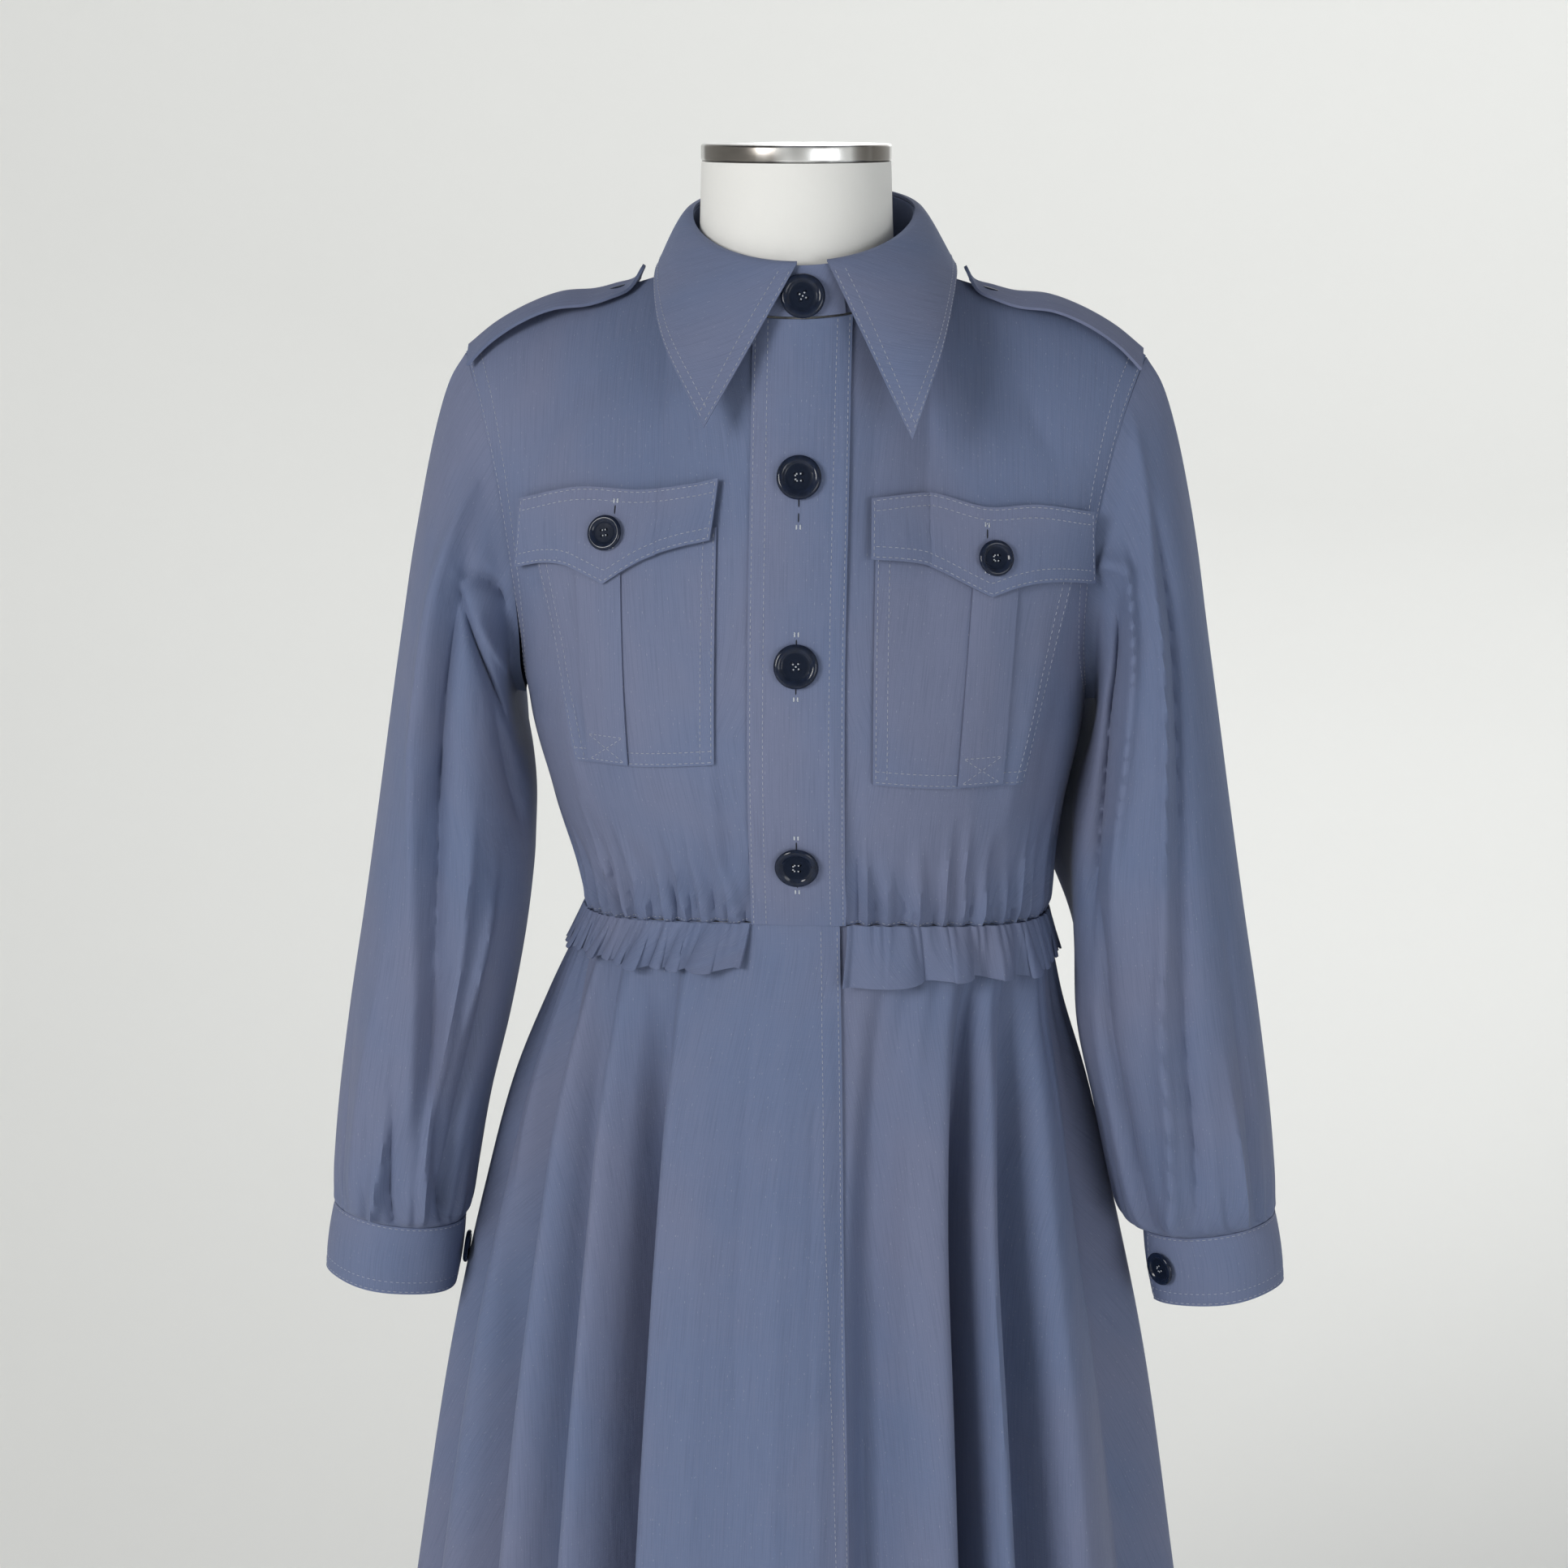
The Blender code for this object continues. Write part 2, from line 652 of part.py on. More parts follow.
def cuff_point(turn, drop, out=0.0):
    """A point of a cuff's oval for the wearer's left arm. Turn 0 is the outer side, and it grows
    towards the front; drop runs down the cuff, and out is away from the oval."""
    side = (CUFF_HALF_WIDE + out) * np.cos(turn)
    deep = (CUFF_HALF_DEEP + out) * np.sin(turn)
    down = drop * CUFF_HEIGHT
    x = CUFF_CENTRE[0] + side * math.cos(CUFF_LEAN) + down * math.sin(CUFF_LEAN)
    z = CUFF_CENTRE[2] + side * math.sin(CUFF_LEAN) - down * math.cos(CUFF_LEAN)
    return np.stack([x, CUFF_CENTRE[1] - deep, z], -1)


def lapped(steps, lap_steps):
    """Turns once round and on over the start, and how far each lies out, so that the end lies over
    the start with a gap between them."""
    turns = np.arange(steps + lap_steps + 1) * 2 * math.pi / steps
    return turns, (LAYER + GAP / 4) * (turns / (2 * math.pi) - 0.5 - lap_steps / steps / 2)


def armhole(rows):
    """The edge of the wearer's left armhole, up the front and down the back, with the cloth's outward
    direction there, and the step into the opening that clears the edge by one unit."""
    heights = np.array(rows)
    ones = np.ones_like(heights)
    edge = np.concatenate([bodice("front", ones, heights), bodice("back", ones, heights)[-2:0:-1]])
    out = np.concatenate([seam_normal("front", ones, heights), seam_normal("back", ones, heights)[-2:0:-1]])
    after = unit(np.cross(np.roll(edge, -1, 0) - edge, out))
    before = unit(np.cross(edge - np.roll(edge, 1, 0), out))
    inward = unit(after + before)
    return edge, out, inward / (inward * after).sum(-1, keepdims=True)


def sleeve_rings(label):
    """Rings of a sleeve from the armhole to the cuff, as points and outward directions, for the
    wearer's left arm with the folds of the given side."""
    edge, out, inward = armhole(ARM_ROWS)
    steps = np.linalg.norm(np.roll(edge, -1, 0) - edge, axis=1)
    half = len(ARM_ROWS) - 1
    rising = np.concatenate([[0], np.cumsum(steps[:half])])
    falling = np.cumsum(steps[half:])
    turn = math.pi * np.concatenate([1 - rising / rising[-1], -falling[:-1] / falling[-1]])
    folds = SLEEVE_FOLDS[label]

    def oval(ring):
        outer = np.array([SLEEVE["outer_x"][ring], 0, SLEEVE["outer_z"][ring]])
        inner = np.array([SLEEVE["inner_x_" + label][ring], 0, SLEEVE["inner_z"][ring]])
        made = (outer + inner) / 2 + (outer - inner) / 2 * np.cos(turn)[:, None]
        made[:, 1] += SLEEVE["centre_y"][ring] - SLEEVE["half_depth"][ring] * np.sin(turn)
        away = unit(made - made.mean(0))
        for i, angle in enumerate(folds["angle"]):
            apart = (np.degrees(turn) - angle + 180) % 360 - 180
            bump = np.clip(1 - (apart / folds["width"][i]) ** 2, 0, 1) ** 2
            run = (ring - folds["first"][i]) / (folds["last"][i] - folds["first"][i])
            made += away * (folds["out"][i] * bump * math.sin(math.pi * min(max(run, 0), 1)))[:, None]
        return made

    rings = [edge]
    for ring in range(1, len(SLEEVE["outer_x"])):
        keep = ARMHOLE_BLEND[ring] if ring < len(ARMHOLE_BLEND) else 0
        rings.append(oval(ring) + keep * (edge - oval(0)))
    rings.append(cuff_point(turn, -GAP / CUFF_HEIGHT))
    rings = np.array(rings)
    rings[..., 2] += CUFF_RAISED[label] * (np.linspace(0, 1, len(rings)) ** 2)[:, None]
    normals = grid_normals(rings, True)
    if (normals * (rings - rings.mean(1, keepdims=True))).sum() < 0:
        normals = -normals
    leave = rings[1] - edge
    ahead = unit(inward)
    lean = np.arctan2((leave * out).sum(-1), np.maximum((leave * ahead).sum(-1), 0))
    rings[0] = edge + inward * (GAP * 1.6 + np.abs(np.sin(lean)) * WALL / 2)[:, None]
    normals[0] = out * np.cos(lean)[:, None] - ahead * np.sin(lean)[:, None]
    normals[-1] = unit(cuff_point(turn, 0, 0.01) - cuff_point(turn, 0))
    return rings, normals


def cuff(label):
    """A band once round the wrist, its buttonhole end lapped over the other end."""
    turns, out = lapped(CUFF_STEPS, CUFF_LAP_STEPS)
    turns = turns - turns[CUFF_LAP_STEPS] / 2 + math.radians(CUFF_CLOSING[label])
    rows = np.array([cuff_point(turns, drop, out) for drop in CUFF_ROWS])
    rows[0] += unit(rows[1] - rows[0]) * GAP / 2
    rows[..., 2] += CUFF_RAISED[label]
    normals = [unit(cuff_point(turns, drop, 0.01) - cuff_point(turns, drop)) for drop in CUFF_ROWS]
    return rows, np.array(normals)


SIDES = {"right": -1, "left": 1}


def mirror_x(sign):
    """Factors that put a point of the wearer's left side on the side with the given sign."""
    return np.array([sign, 1.0, 1.0])


for label, sign in SIDES.items():
    for kind, shape in (("sleeve", sleeve_rings), ("cuff", cuff)):
        rows, normals = shape(label)
        both = mirror_x(sign)
        wall(f"{kind}_{label}", list(rows * both), list(normals * both), WALL, around=kind == "sleeve")


# Collar stand and collar

# Ovals round the neck: half width, and the y and z of the front centre, the sides and the back centre.
NECK_OVALS = {
    "neckline": (NECK_WIDE, NECK["front"], (NECK_CENTRE_Y, NECK_SIDE_Z), NECK["back"]),
    "stand_top": (0.0640, (-0.0690, 1.4050), (0.0030, 1.4310), (0.0590, 1.4440)),
}
STAND_STEPS = 32
STAND_LAP_STEPS = 4
STAND_LIFT = 0.0012


def neck_oval(name, turn):
    """A point of an oval round the neck. Turn 0 is the front centre and grows towards the left."""
    half, front, side, back = (np.array(values) for values in NECK_OVALS[name])
    forward = np.cos(turn)[..., None]
    y_z = side + np.where(forward > 0, front - side, back - side) * np.abs(forward)
    return np.concatenate([half * np.sin(turn)[..., None], y_z], -1)


def from_neck(points):
    """Level outward directions from the middle of the neck."""
    return unit((points - np.array([0.0, NECK_CENTRE_Y, 0.0])) * np.array([1.0, 1.0, 0.0]))


def stand_point(turn, up, out=0.0):
    """A point of the collar stand, from the neckline up to the fold of the collar."""
    low, high = neck_oval("neckline", turn), neck_oval("stand_top", turn)
    low[..., 2] += STAND_LIFT
    away = from_neck(low * 0.5 + high * 0.5)
    return low * (1 - up) + high * up + away * np.asarray(out, float)[..., None]


turns, out = lapped(STAND_STEPS, STAND_LAP_STEPS)
turns = turns - turns[STAND_LAP_STEPS] / 2
stand_rows = [stand_point(turns, up, out) for up in (0.0, 0.5, 1.0)]
wall("collar_stand", stand_rows, [from_neck(stand_rows[1])] * 3, WALL)

COLLAR = table(
    "share edge_x edge_y edge_z roll",
    (0.00, 0.0575, -0.1120, 1.3190, 0.0010),
    (0.12, 0.0670, -0.1030, 1.3400, 0.0015),
    (0.26, 0.0775, -0.0820, 1.3630, 0.0020),
    (0.40, 0.0840, -0.0500, 1.3840, 0.0020),
    (0.55, 0.0865, -0.0100, 1.4000, 0.0020),
    (0.70, 0.0810, 0.0370, 1.3990, 0.0030),
    (0.85, 0.0510, 0.0800, 1.3930, 0.0050),
    (1.00, 0.0000, 0.0970, 1.3900, 0.0060),
)
COLLAR_LEFT_FALL = 0.006
COLLAR_CORNERS = (math.radians(-0.6), math.radians(15.6))
COLLAR_RISE = COLLAR_WALL / 2 + GAP * 3
COLLAR_SHIFT = 0.0095
COLLAR_TURN_OVER = (0.0036, -0.0008)
COLLAR_HALF_STEPS = 12
COLLAR_ROWS = (0.0, 0.14, 0.4, 0.7, 1.0)


def collar():
    """The turned-down collar: from the fold over the stand's top edge down to its outer edge, with a
    long point at each front."""
    place = np.linspace(-1, 1, 2 * COLLAR_HALF_STEPS + 1)
    share = 1 - np.abs(place)
    side = np.where(place < 0, -1.0, 1.0)
    corner = np.where(side < 0, *COLLAR_CORNERS)
    fold = neck_oval("stand_top", side * (corner + (math.pi - corner) * share))
    fold[:, 2] += COLLAR_RISE
    edge = np.stack([along(COLLAR, "share", c, share) for c in ("edge_x", "edge_y", "edge_z")], -1)
    edge[:, 0] = edge[:, 0] * side + COLLAR_SHIFT * (1 - share) ** 2
    edge[:, 2] -= np.where(side > 0, COLLAR_LEFT_FALL * (1 - share) ** 3, 0)
    away = from_neck(fold)
    roll = along(COLLAR, "share", "roll", share)[:, None]
    over = fold + away * COLLAR_TURN_OVER[0] + np.array([0, 0, COLLAR_TURN_OVER[1]])
    leaf = [over + (edge - over) * t + away * roll * math.sin(math.pi * t**0.6) for t in COLLAR_ROWS]
    points = np.array([fold] + leaf)
    normals = grid_normals(points, False)
    if (normals * away).sum() < 0:
        normals = -normals
    normals[0] = [0, 0, 1]
    normals[1] = unit(away * 0.7 + np.array([0, 0, 1.0]))
    wall("collar", list(points), list(normals), COLLAR_WALL)


collar()


# Pockets, flaps and shoulder straps


def laid_on_front(name, outline, lift, thickness, steps):
    """A piece that lies on a front. The outline gives the bottom and top edges as lists of (x, z)
    seen from the front, from the centre outwards; steps is its number of columns and rows."""
    across, up = steps
    bottom, top = (np.array(edge, float) for edge in outline)
    t = np.linspace(0, 1, across + 1)
    edges = []
    for edge in (bottom, top):
        place = np.linspace(0, 1, len(edge))
        edges.append(np.stack([np.interp(t, place, edge[:, 0]), np.interp(t, place, edge[:, 1])], -1))
    rows, normals = [], []
    for v in np.linspace(0, 1, up + 1):
        flat = edges[0] * (1 - v) + edges[1] * v
        share, height = front_at(flat[:, 0], flat[:, 1])
        out = bodice_normal("front", share, height)
        rows.append(bodice("front", share, height) + out * lift)
        normals.append(out)
    wall(name, rows, normals, thickness)


POCKET_WALL = 0.0010
ON_PANEL = WALL / 2 + GAP * 2.7 + POCKET_WALL / 2
ON_POCKET = ON_PANEL + POCKET_WALL + GAP * 2
FRONT_PIECES = {
    "pocket": {
        "right": {
            "bottom": ((0.0455, 1.1320), (0.0850, 1.1270), (0.1270, 1.1245)),
            "top": ((0.0455, 1.2620), (0.1560, 1.2560)),
        },
        "left": {
            "bottom": ((0.0425, 1.1215), (0.0840, 1.1165), (0.1245, 1.1145)),
            "top": ((0.0425, 1.2600), (0.1575, 1.2520)),
        },
    },
    "pocket_pleat": {
        "right": {
            "bottom": ((0.0950, 1.1270), (0.1190, 1.1265)),
            "top": ((0.1010, 1.2480), (0.1270, 1.2480)),
        },
        "left": {
            "bottom": ((0.0885, 1.1175), (0.1125, 1.1165)),
            "top": ((0.0970, 1.2420), (0.1220, 1.2420)),
        },
    },
    "flap": {
        "right": {
            "bottom": (
                (0.0460, 1.2545), (0.0640, 1.2500), (0.0780, 1.2440), (0.0920, 1.2350), (0.1075, 1.2290),
                (0.1200, 1.2330), (0.1310, 1.2360), (0.1450, 1.2360), (0.1590, 1.2345),
            ),
            "top": ((0.0435, 1.2865), (0.1000, 1.2815), (0.1570, 1.2735)),
        },
        "left": {
            "bottom": (
                (0.0415, 1.2435), (0.0600, 1.2415), (0.0760, 1.2375), (0.0920, 1.2290), (0.1070, 1.2225),
                (0.1210, 1.2270), (0.1340, 1.2295), (0.1470, 1.2290), (0.1610, 1.2275),
            ),
            "top": ((0.0420, 1.2780), (0.1000, 1.2750), (0.1600, 1.2680)),
        },
    },
}
FLAP_BUTTON = {"right": (0.1085, 1.2545), "left": (0.1075, 1.2430)}
LAID = {
    "pocket": (ON_PANEL, (8, 8)),
    "pocket_pleat": (ON_POCKET, (2, 8)),
    "flap": (ON_POCKET + POCKET_WALL + GAP, (12, 4)),
}

for kind, (lift, steps) in LAID.items():
    for label, sign in SIDES.items():
        outline = FRONT_PIECES[kind][label]
        edges = [[(FRONT_X + sign * x, z) for x, z in outline[edge]] for edge in ("bottom", "top")]
        laid_on_front(f"{kind}_{label}", edges, lift, POCKET_WALL, steps)


def over_shoulder(share, across):
    """A point of the bodice at a distance across the shoulder seam, to the front if positive, and
    its outward direction there."""
    face = "front" if across >= 0 else "back"
    heights = np.linspace(SHOULDER, SHOULDER - 0.06, 61)
    path = bodice(face, np.full_like(heights, share), heights)
    length = np.concatenate([[0], np.cumsum(np.linalg.norm(np.diff(path, axis=0), axis=1))])
    height = np.interp(abs(across), length, heights)
    return bodice(face, share, height), seam_normal(face, share, height)


STRAP = table(
    "share half_width lift",
    (0.985, 0.0210, 0.0000),
    (0.900, 0.0210, 0.0012),
    (0.800, 0.0210, 0.0045),
    (0.700, 0.0205, 0.0052),
    (0.610, 0.0200, 0.0014),
    (0.545, 0.0185, 0.0008),
    (0.490, 0.0135, 0.0008),
    (0.455, 0.0035, 0.0068),
)
STRAP_WALL = 0.0018
STRAP_BUTTON_ROW = 5
STRAP_ACROSS = (-1.0, -0.5, 0.0, 0.5, 1.0)


def shoulder_strap(name, sign):
    """A strap from the armhole seam towards the collar, buttoned near its point."""
    rows, normals = [], []
    for share, half, lift in zip(STRAP["share"], STRAP["half_width"], STRAP["lift"]):
        pairs = [over_shoulder(share, half * a) for a in STRAP_ACROSS]
        out = unit(np.array([n for _, n in pairs]))
        flat = unit(out.mean(0))
        spots = np.array([p for p, _ in pairs])
        ridge = spots[2]
        level = spots + flat * ((ridge - spots) @ flat)[:, None] * 0.45
        rows.append(level + out * (WALL / 2 + GAP * 2 + STRAP_WALL / 2) + flat * lift)
        normals.append(unit(out * 0.6 + flat))
    rows, normals = np.array(rows), np.array(normals)
    if sign < 0:
        rows[..., 0] *= -1
        normals[..., 0] *= -1
    wall(name, list(rows), list(normals), STRAP_WALL)
    middle = len(STRAP_ACROSS) // 2
    return rows[STRAP_BUTTON_ROW, middle], unit(normals[STRAP_BUTTON_ROW, middle])


# Buttons

BUTTON_PROFILE = ((0.0, 0.0), (0.90, 0.0), (1.0, 0.45), (0.88, 1.0), (0.70, 0.65), (0.0, 0.65))
BUTTON_SIDES = 12


def button(name, seat, out, size, clear):
    """A round button with a raised rim, its back a given distance from its seat."""
    radius, height = size
    out = unit(np.asarray(out, float))
    side = unit(np.cross(out, [0.0, 0.0, 1.0] if abs(out[2]) < 0.9 else [1.0, 0.0, 0.0]))
    other = np.cross(out, side)
    origin = np.asarray(seat) + out * clear
    mesh = bmesh.new()
    rings = []
    for r, h in BUTTON_PROFILE:
        centre = origin + out * h * height
        if r == 0:
            rings.append([mesh.verts.new(centre)])
            continue
        turns = [2 * math.pi * i / BUTTON_SIDES for i in range(BUTTON_SIDES)]
        rings.append([
            mesh.verts.new(centre + (side * math.cos(a) + other * math.sin(a)) * r * radius) for a in turns
        ])
    for low, high in zip(rings, rings[1:]):
        for i in range(BUTTON_SIDES):
            k = (i + 1) % BUTTON_SIDES
            if len(low) == 1:
                mesh.faces.new((low[0], high[k], high[i]))
            elif len(high) == 1:
                mesh.faces.new((low[i], low[k], high[0]))
            else:
                mesh.faces.new((low[i], low[k], high[k], high[i]))
    finish(mesh, name, "button_navy")


TOP_BUTTON = (math.radians(3.5), 0.40)
BAND_BUTTONS = (1.290, 1.188, 1.0725)
CUFF_BUTTON_DROP = 0.46
for i, z in enumerate(BAND_BUTTONS):
    share, height = front_at(np.array(FRONT_X), np.array(z))
    out = bodice_normal("front", share, height)
    seat = bodice("front", share, height) + out * (LAYER + WALL / 2)
    button(f"button_front_{i + 2}", seat, out, BUTTON_COAT, GAP)

stand_seat = stand_point(np.array([TOP_BUTTON[0]]), TOP_BUTTON[1], np.array([LAYER / 2 + WALL / 2]))[0]
button("button_front_1", stand_seat, np.array([0.06, -1.0, 0.18]), BUTTON_COAT, GAP * 3)

for label, sign in SIDES.items():
    x, z = FLAP_BUTTON[label]
    share, height = front_at(np.array(FRONT_X + sign * x), np.array(z))
    out = bodice_normal("front", share, height)
    seat = bodice("front", share, height) + out * (ON_POCKET + POCKET_WALL * 1.5 + GAP)
    button(f"button_flap_{label}", seat, out, BUTTON_SMALL, GAP * 2)
    seat, out = shoulder_strap(f"shoulder_strap_{label}", sign)
    button(f"button_strap_{label}", seat, out, BUTTON_STRAP, STRAP_WALL / 2 + GAP * 3)
    turn = np.array([math.radians(CUFF_CLOSING[label])])
    seat = cuff_point(turn, CUFF_BUTTON_DROP, LAYER / 2 + WALL / 2)[0]
    seat[2] += CUFF_RAISED[label]
    out = cuff_point(turn, CUFF_BUTTON_DROP, 0.02)[0] - cuff_point(turn, CUFF_BUTTON_DROP)[0]
    button(f"button_cuff_{label}", seat * mirror_x(sign), out * mirror_x(sign), BUTTON_SMALL, GAP * 2)


# Dress form

FORM_HIPS = table(
    "height half_width front_depth back_depth",
    (0.800, 0.1480, 0.094, 0.104),
    (0.808, 0.1560, 0.100, 0.111),
    (0.850, 0.1610, 0.106, 0.119),
    (0.900, 0.1540, 0.101, 0.111),
    (0.950, 0.1410, 0.093, 0.096),
    (0.990, 0.1300, 0.088, 0.080),
)
NECK_RINGS = table(
    "share z half_width half_depth",
    (0.35, 1.4040, 0.0580, 0.0570),
    (0.70, 1.4220, 0.0558, 0.0553),
    (1.00, 1.4605, 0.0545, 0.0545),
)
FORM_ROWS = (WAIST, 1.062, 1.116, UNDERARM, 1.190, 1.246, 1.302, 1.339, SHOULDER)
PLATE_BULGE = 0.006
NECK_AXIS = (-0.0040, -0.005)
FORM_EASE_REACH = 0.05


def form_ease(share, height):
    """How far the form's skin lies inside the middle of the cloth: just clear at the shoulder seam."""
    off_seam = rise((SHOULDER - height) / FORM_EASE_REACH)
    at_neck = rise((NECK_SHARE - np.abs(share)) / (NECK_SHARE / NECK_STEPS) * 0.5 + 0.25)
    return WALL / 2 + GAP * 1.5 + (FORM_EASE - GAP * 1.5) * np.maximum(off_seam, at_neck)


def form_body():
    """Torso, arm plates and neck as one closed skin, by rings from the hips up."""
    shares = all_shares()
    count = len(shares)
    rings = []
    for height, wide, front, back in zip(*FORM_HIPS.values()):
        turn = shares * math.pi / 2
        side = wide * np.sin(turn) + along(SWAY, "height", "x", height)
        face = np.stack([side, -front * np.cos(turn), np.full(count, height)], -1)
        rear = np.stack([side, back * np.cos(turn), np.full(count, height)], -1)[::-1]
        rings.append(np.concatenate([face, face[-1:], rear, rear[-1:]]))
    for height in FORM_ROWS:
        level = np.full(count, height)
        ease = form_ease(shares, height)[:, None]
        face = bodice("front", shares, level) - seam_normal("front", shares, level) * ease
        rear = (bodice("back", shares, level) - seam_normal("back", shares, level) * ease)[::-1]
        plates = []
        for a, b, side in ((face[-1], rear[0], 1), (rear[-1], face[0], -1)):
            open_by = np.linalg.norm(a - b) / 0.1
            plates.append((a + b) / 2 + np.array([side * PLATE_BULGE * min(open_by, 1), 0, 0]))
        rings.append(np.concatenate([face, plates[:1], rear, plates[1:]]))
    mesh = bmesh.new()
    verts = [[mesh.verts.new(p) for p in ring] for ring in rings]
    for low, high in zip(verts, verts[1:]):
        strip(mesh, low, high, True)
    mesh.faces.new(verts[0][::-1])
    on_neck = np.where(np.abs(shares) <= NECK_SHARE + 1e-6)[0]
    top = verts[-1]
    neck = [top[i] for i in on_neck] + [top[count + 1 + (count - 1 - i)] for i in on_neck[::-1][1:-1]]
    base = np.array([v.co[:] for v in neck])
    turn = np.arctan2(base[:, 0], -(base[:, 1] - NECK_AXIS[1]))
    below = neck
    for share, z, wide, deep in zip(*NECK_RINGS.values()):
        ring = np.stack(
            [
                NECK_AXIS[0] + wide * np.sin(turn),
                NECK_AXIS[1] - deep * np.cos(turn),
                np.full(len(turn), z) + (base[:, 2] - base[:, 2].mean()) * (1 - share),
            ],
            -1,
        )
        row = [mesh.verts.new(p) for p in ring]
        strip(mesh, below, row, True)
        below = row
    mesh.faces.new(below)
    bmesh.ops.remove_doubles(mesh, verts=mesh.verts, dist=1e-5)
    bmesh.ops.dissolve_degenerate(mesh, edges=mesh.edges, dist=1e-5)
    finish(mesh, "form_body", "form_cloth")


form_body()

POLE_RADIUS = 0.0125
POLE_TOP = FORM_HIPS["height"][0] - GAP
BASE_RADIUS = 0.165
BASE_THICK = 0.008
FOOT_RING = (0.022, 0.030)
CAP_BOTTOM = NECK_RINGS["z"][-1] + GAP
CAP_RADIUS = 0.0547
CAP_HEIGHT = 0.0095


def turned(name, profile, finish_name, segments):
    """A solid of revolution: the profile runs from the axis at the bottom to the axis at the top."""
    mesh = bmesh.new()
    rings = []
    for r, z in profile:
        if r == 0:
            rings.append([mesh.verts.new((0, 0, z))])
            continue
        turns = [2 * math.pi * i / segments for i in range(segments)]
        rings.append([mesh.verts.new((r * math.cos(a), r * math.sin(a), z)) for a in turns])
    for low, high in zip(rings, rings[1:]):
        for i in range(segments):
            k = (i + 1) % segments
            if len(low) == 1:
                mesh.faces.new((low[0], high[k], high[i]))
            elif len(high) == 1:
                mesh.faces.new((low[i], low[k], high[0]))
            else:
                mesh.faces.new((low[i], low[k], high[k], high[i]))
    return finish(mesh, name, finish_name)


def flat_disc(name, radius, low, high, edge, finish_name, segments, x=0.0, y=0.0):
    """A disc with a softened upper edge and one flat face on each side."""
    mesh = bmesh.new()
    rings = []
    for r, z in ((radius, low), (radius, high - edge), (radius - edge, high)):
        turns = [2 * math.pi * i / segments for i in range(segments)]
        rings.append([mesh.verts.new((x + r * math.cos(a), y + r * math.sin(a), z)) for a in turns])
    for a, b in zip(rings, rings[1:]):
        strip(mesh, a, b, True)
    mesh.faces.new(rings[0][::-1])
    mesh.faces.new(rings[-1])
    finish(mesh, name, finish_name)


flat_disc("neck_cap", CAP_RADIUS, CAP_BOTTOM, CAP_BOTTOM + CAP_HEIGHT, 0.0012, "cap_chrome", 32, *NECK_AXIS)
flat_disc("stand_base", BASE_RADIUS, 0.0, BASE_THICK, 0.002, "stand_steel", 40)
turned(
    "stand_pole",
    (
        (0, BASE_THICK + GAP),
        (FOOT_RING[0], BASE_THICK + GAP),
        (FOOT_RING[0], BASE_THICK + FOOT_RING[1]),
        (POLE_RADIUS, BASE_THICK + FOOT_RING[1] + 0.004),
        (POLE_RADIUS, POLE_TOP),
        (0, POLE_TOP),
    ),
    "stand_steel",
    20,
)
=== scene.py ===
import math

import bpy
import numpy as np
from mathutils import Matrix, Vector


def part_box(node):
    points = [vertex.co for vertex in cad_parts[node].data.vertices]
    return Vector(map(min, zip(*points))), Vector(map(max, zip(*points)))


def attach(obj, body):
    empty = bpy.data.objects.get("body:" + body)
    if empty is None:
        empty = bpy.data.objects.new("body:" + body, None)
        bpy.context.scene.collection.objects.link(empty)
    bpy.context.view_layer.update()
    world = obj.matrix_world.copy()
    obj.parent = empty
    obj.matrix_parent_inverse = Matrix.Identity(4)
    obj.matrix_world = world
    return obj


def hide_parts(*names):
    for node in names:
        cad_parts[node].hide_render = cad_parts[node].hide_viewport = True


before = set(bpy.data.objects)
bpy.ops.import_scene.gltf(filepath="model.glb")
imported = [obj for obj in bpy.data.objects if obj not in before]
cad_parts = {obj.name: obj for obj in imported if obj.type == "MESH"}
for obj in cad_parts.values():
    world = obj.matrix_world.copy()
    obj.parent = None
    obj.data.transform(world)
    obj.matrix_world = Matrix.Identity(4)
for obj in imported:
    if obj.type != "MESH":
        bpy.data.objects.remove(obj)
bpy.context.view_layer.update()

# Camera
# It stands a little to the wearer's left of the front, above the collar, and is tipped down. The
# numbers are read off the photograph's perspective.

CAMERA_TURN = math.radians(4)
CAMERA_DISTANCE = 1.84
CAMERA_ASIDE = -0.0114
CAMERA_HEIGHT = 1.508
CAMERA_TIP = math.radians(12.7)
CAMERA_LENS = 72.11
bpy.ops.object.camera_add(
    location=(
        CAMERA_DISTANCE * math.sin(CAMERA_TURN) + CAMERA_ASIDE * math.cos(CAMERA_TURN),
        -CAMERA_DISTANCE * math.cos(CAMERA_TURN) + CAMERA_ASIDE * math.sin(CAMERA_TURN),
        CAMERA_HEIGHT,
    ),
    rotation=(math.pi / 2 - CAMERA_TIP, 0, CAMERA_TURN),
)
camera = bpy.context.object
camera.name = "camera"
camera.data.sensor_width = 36
camera.data.lens = CAMERA_LENS
bpy.context.scene.camera = camera


# Studio
# A pale floor that turns up into a pale wall all round, under an even sky. The main light is broad
# and high on the left. A weaker one is low on the right, one is behind, and one is on the wall.


def paint(name, colour, roughness=0.5, metallic=0.0):
    """A new Principled material, with its shader node and its tree."""
    made = bpy.data.materials.new(name)
    made.use_nodes = True
    shader = made.node_tree.nodes["Principled BSDF"]
    shader.inputs["Base Color"].default_value = (*colour, 1)
    shader.inputs["Roughness"].default_value = roughness
    shader.inputs["Metallic"].default_value = metallic
    return made, shader, made.node_tree


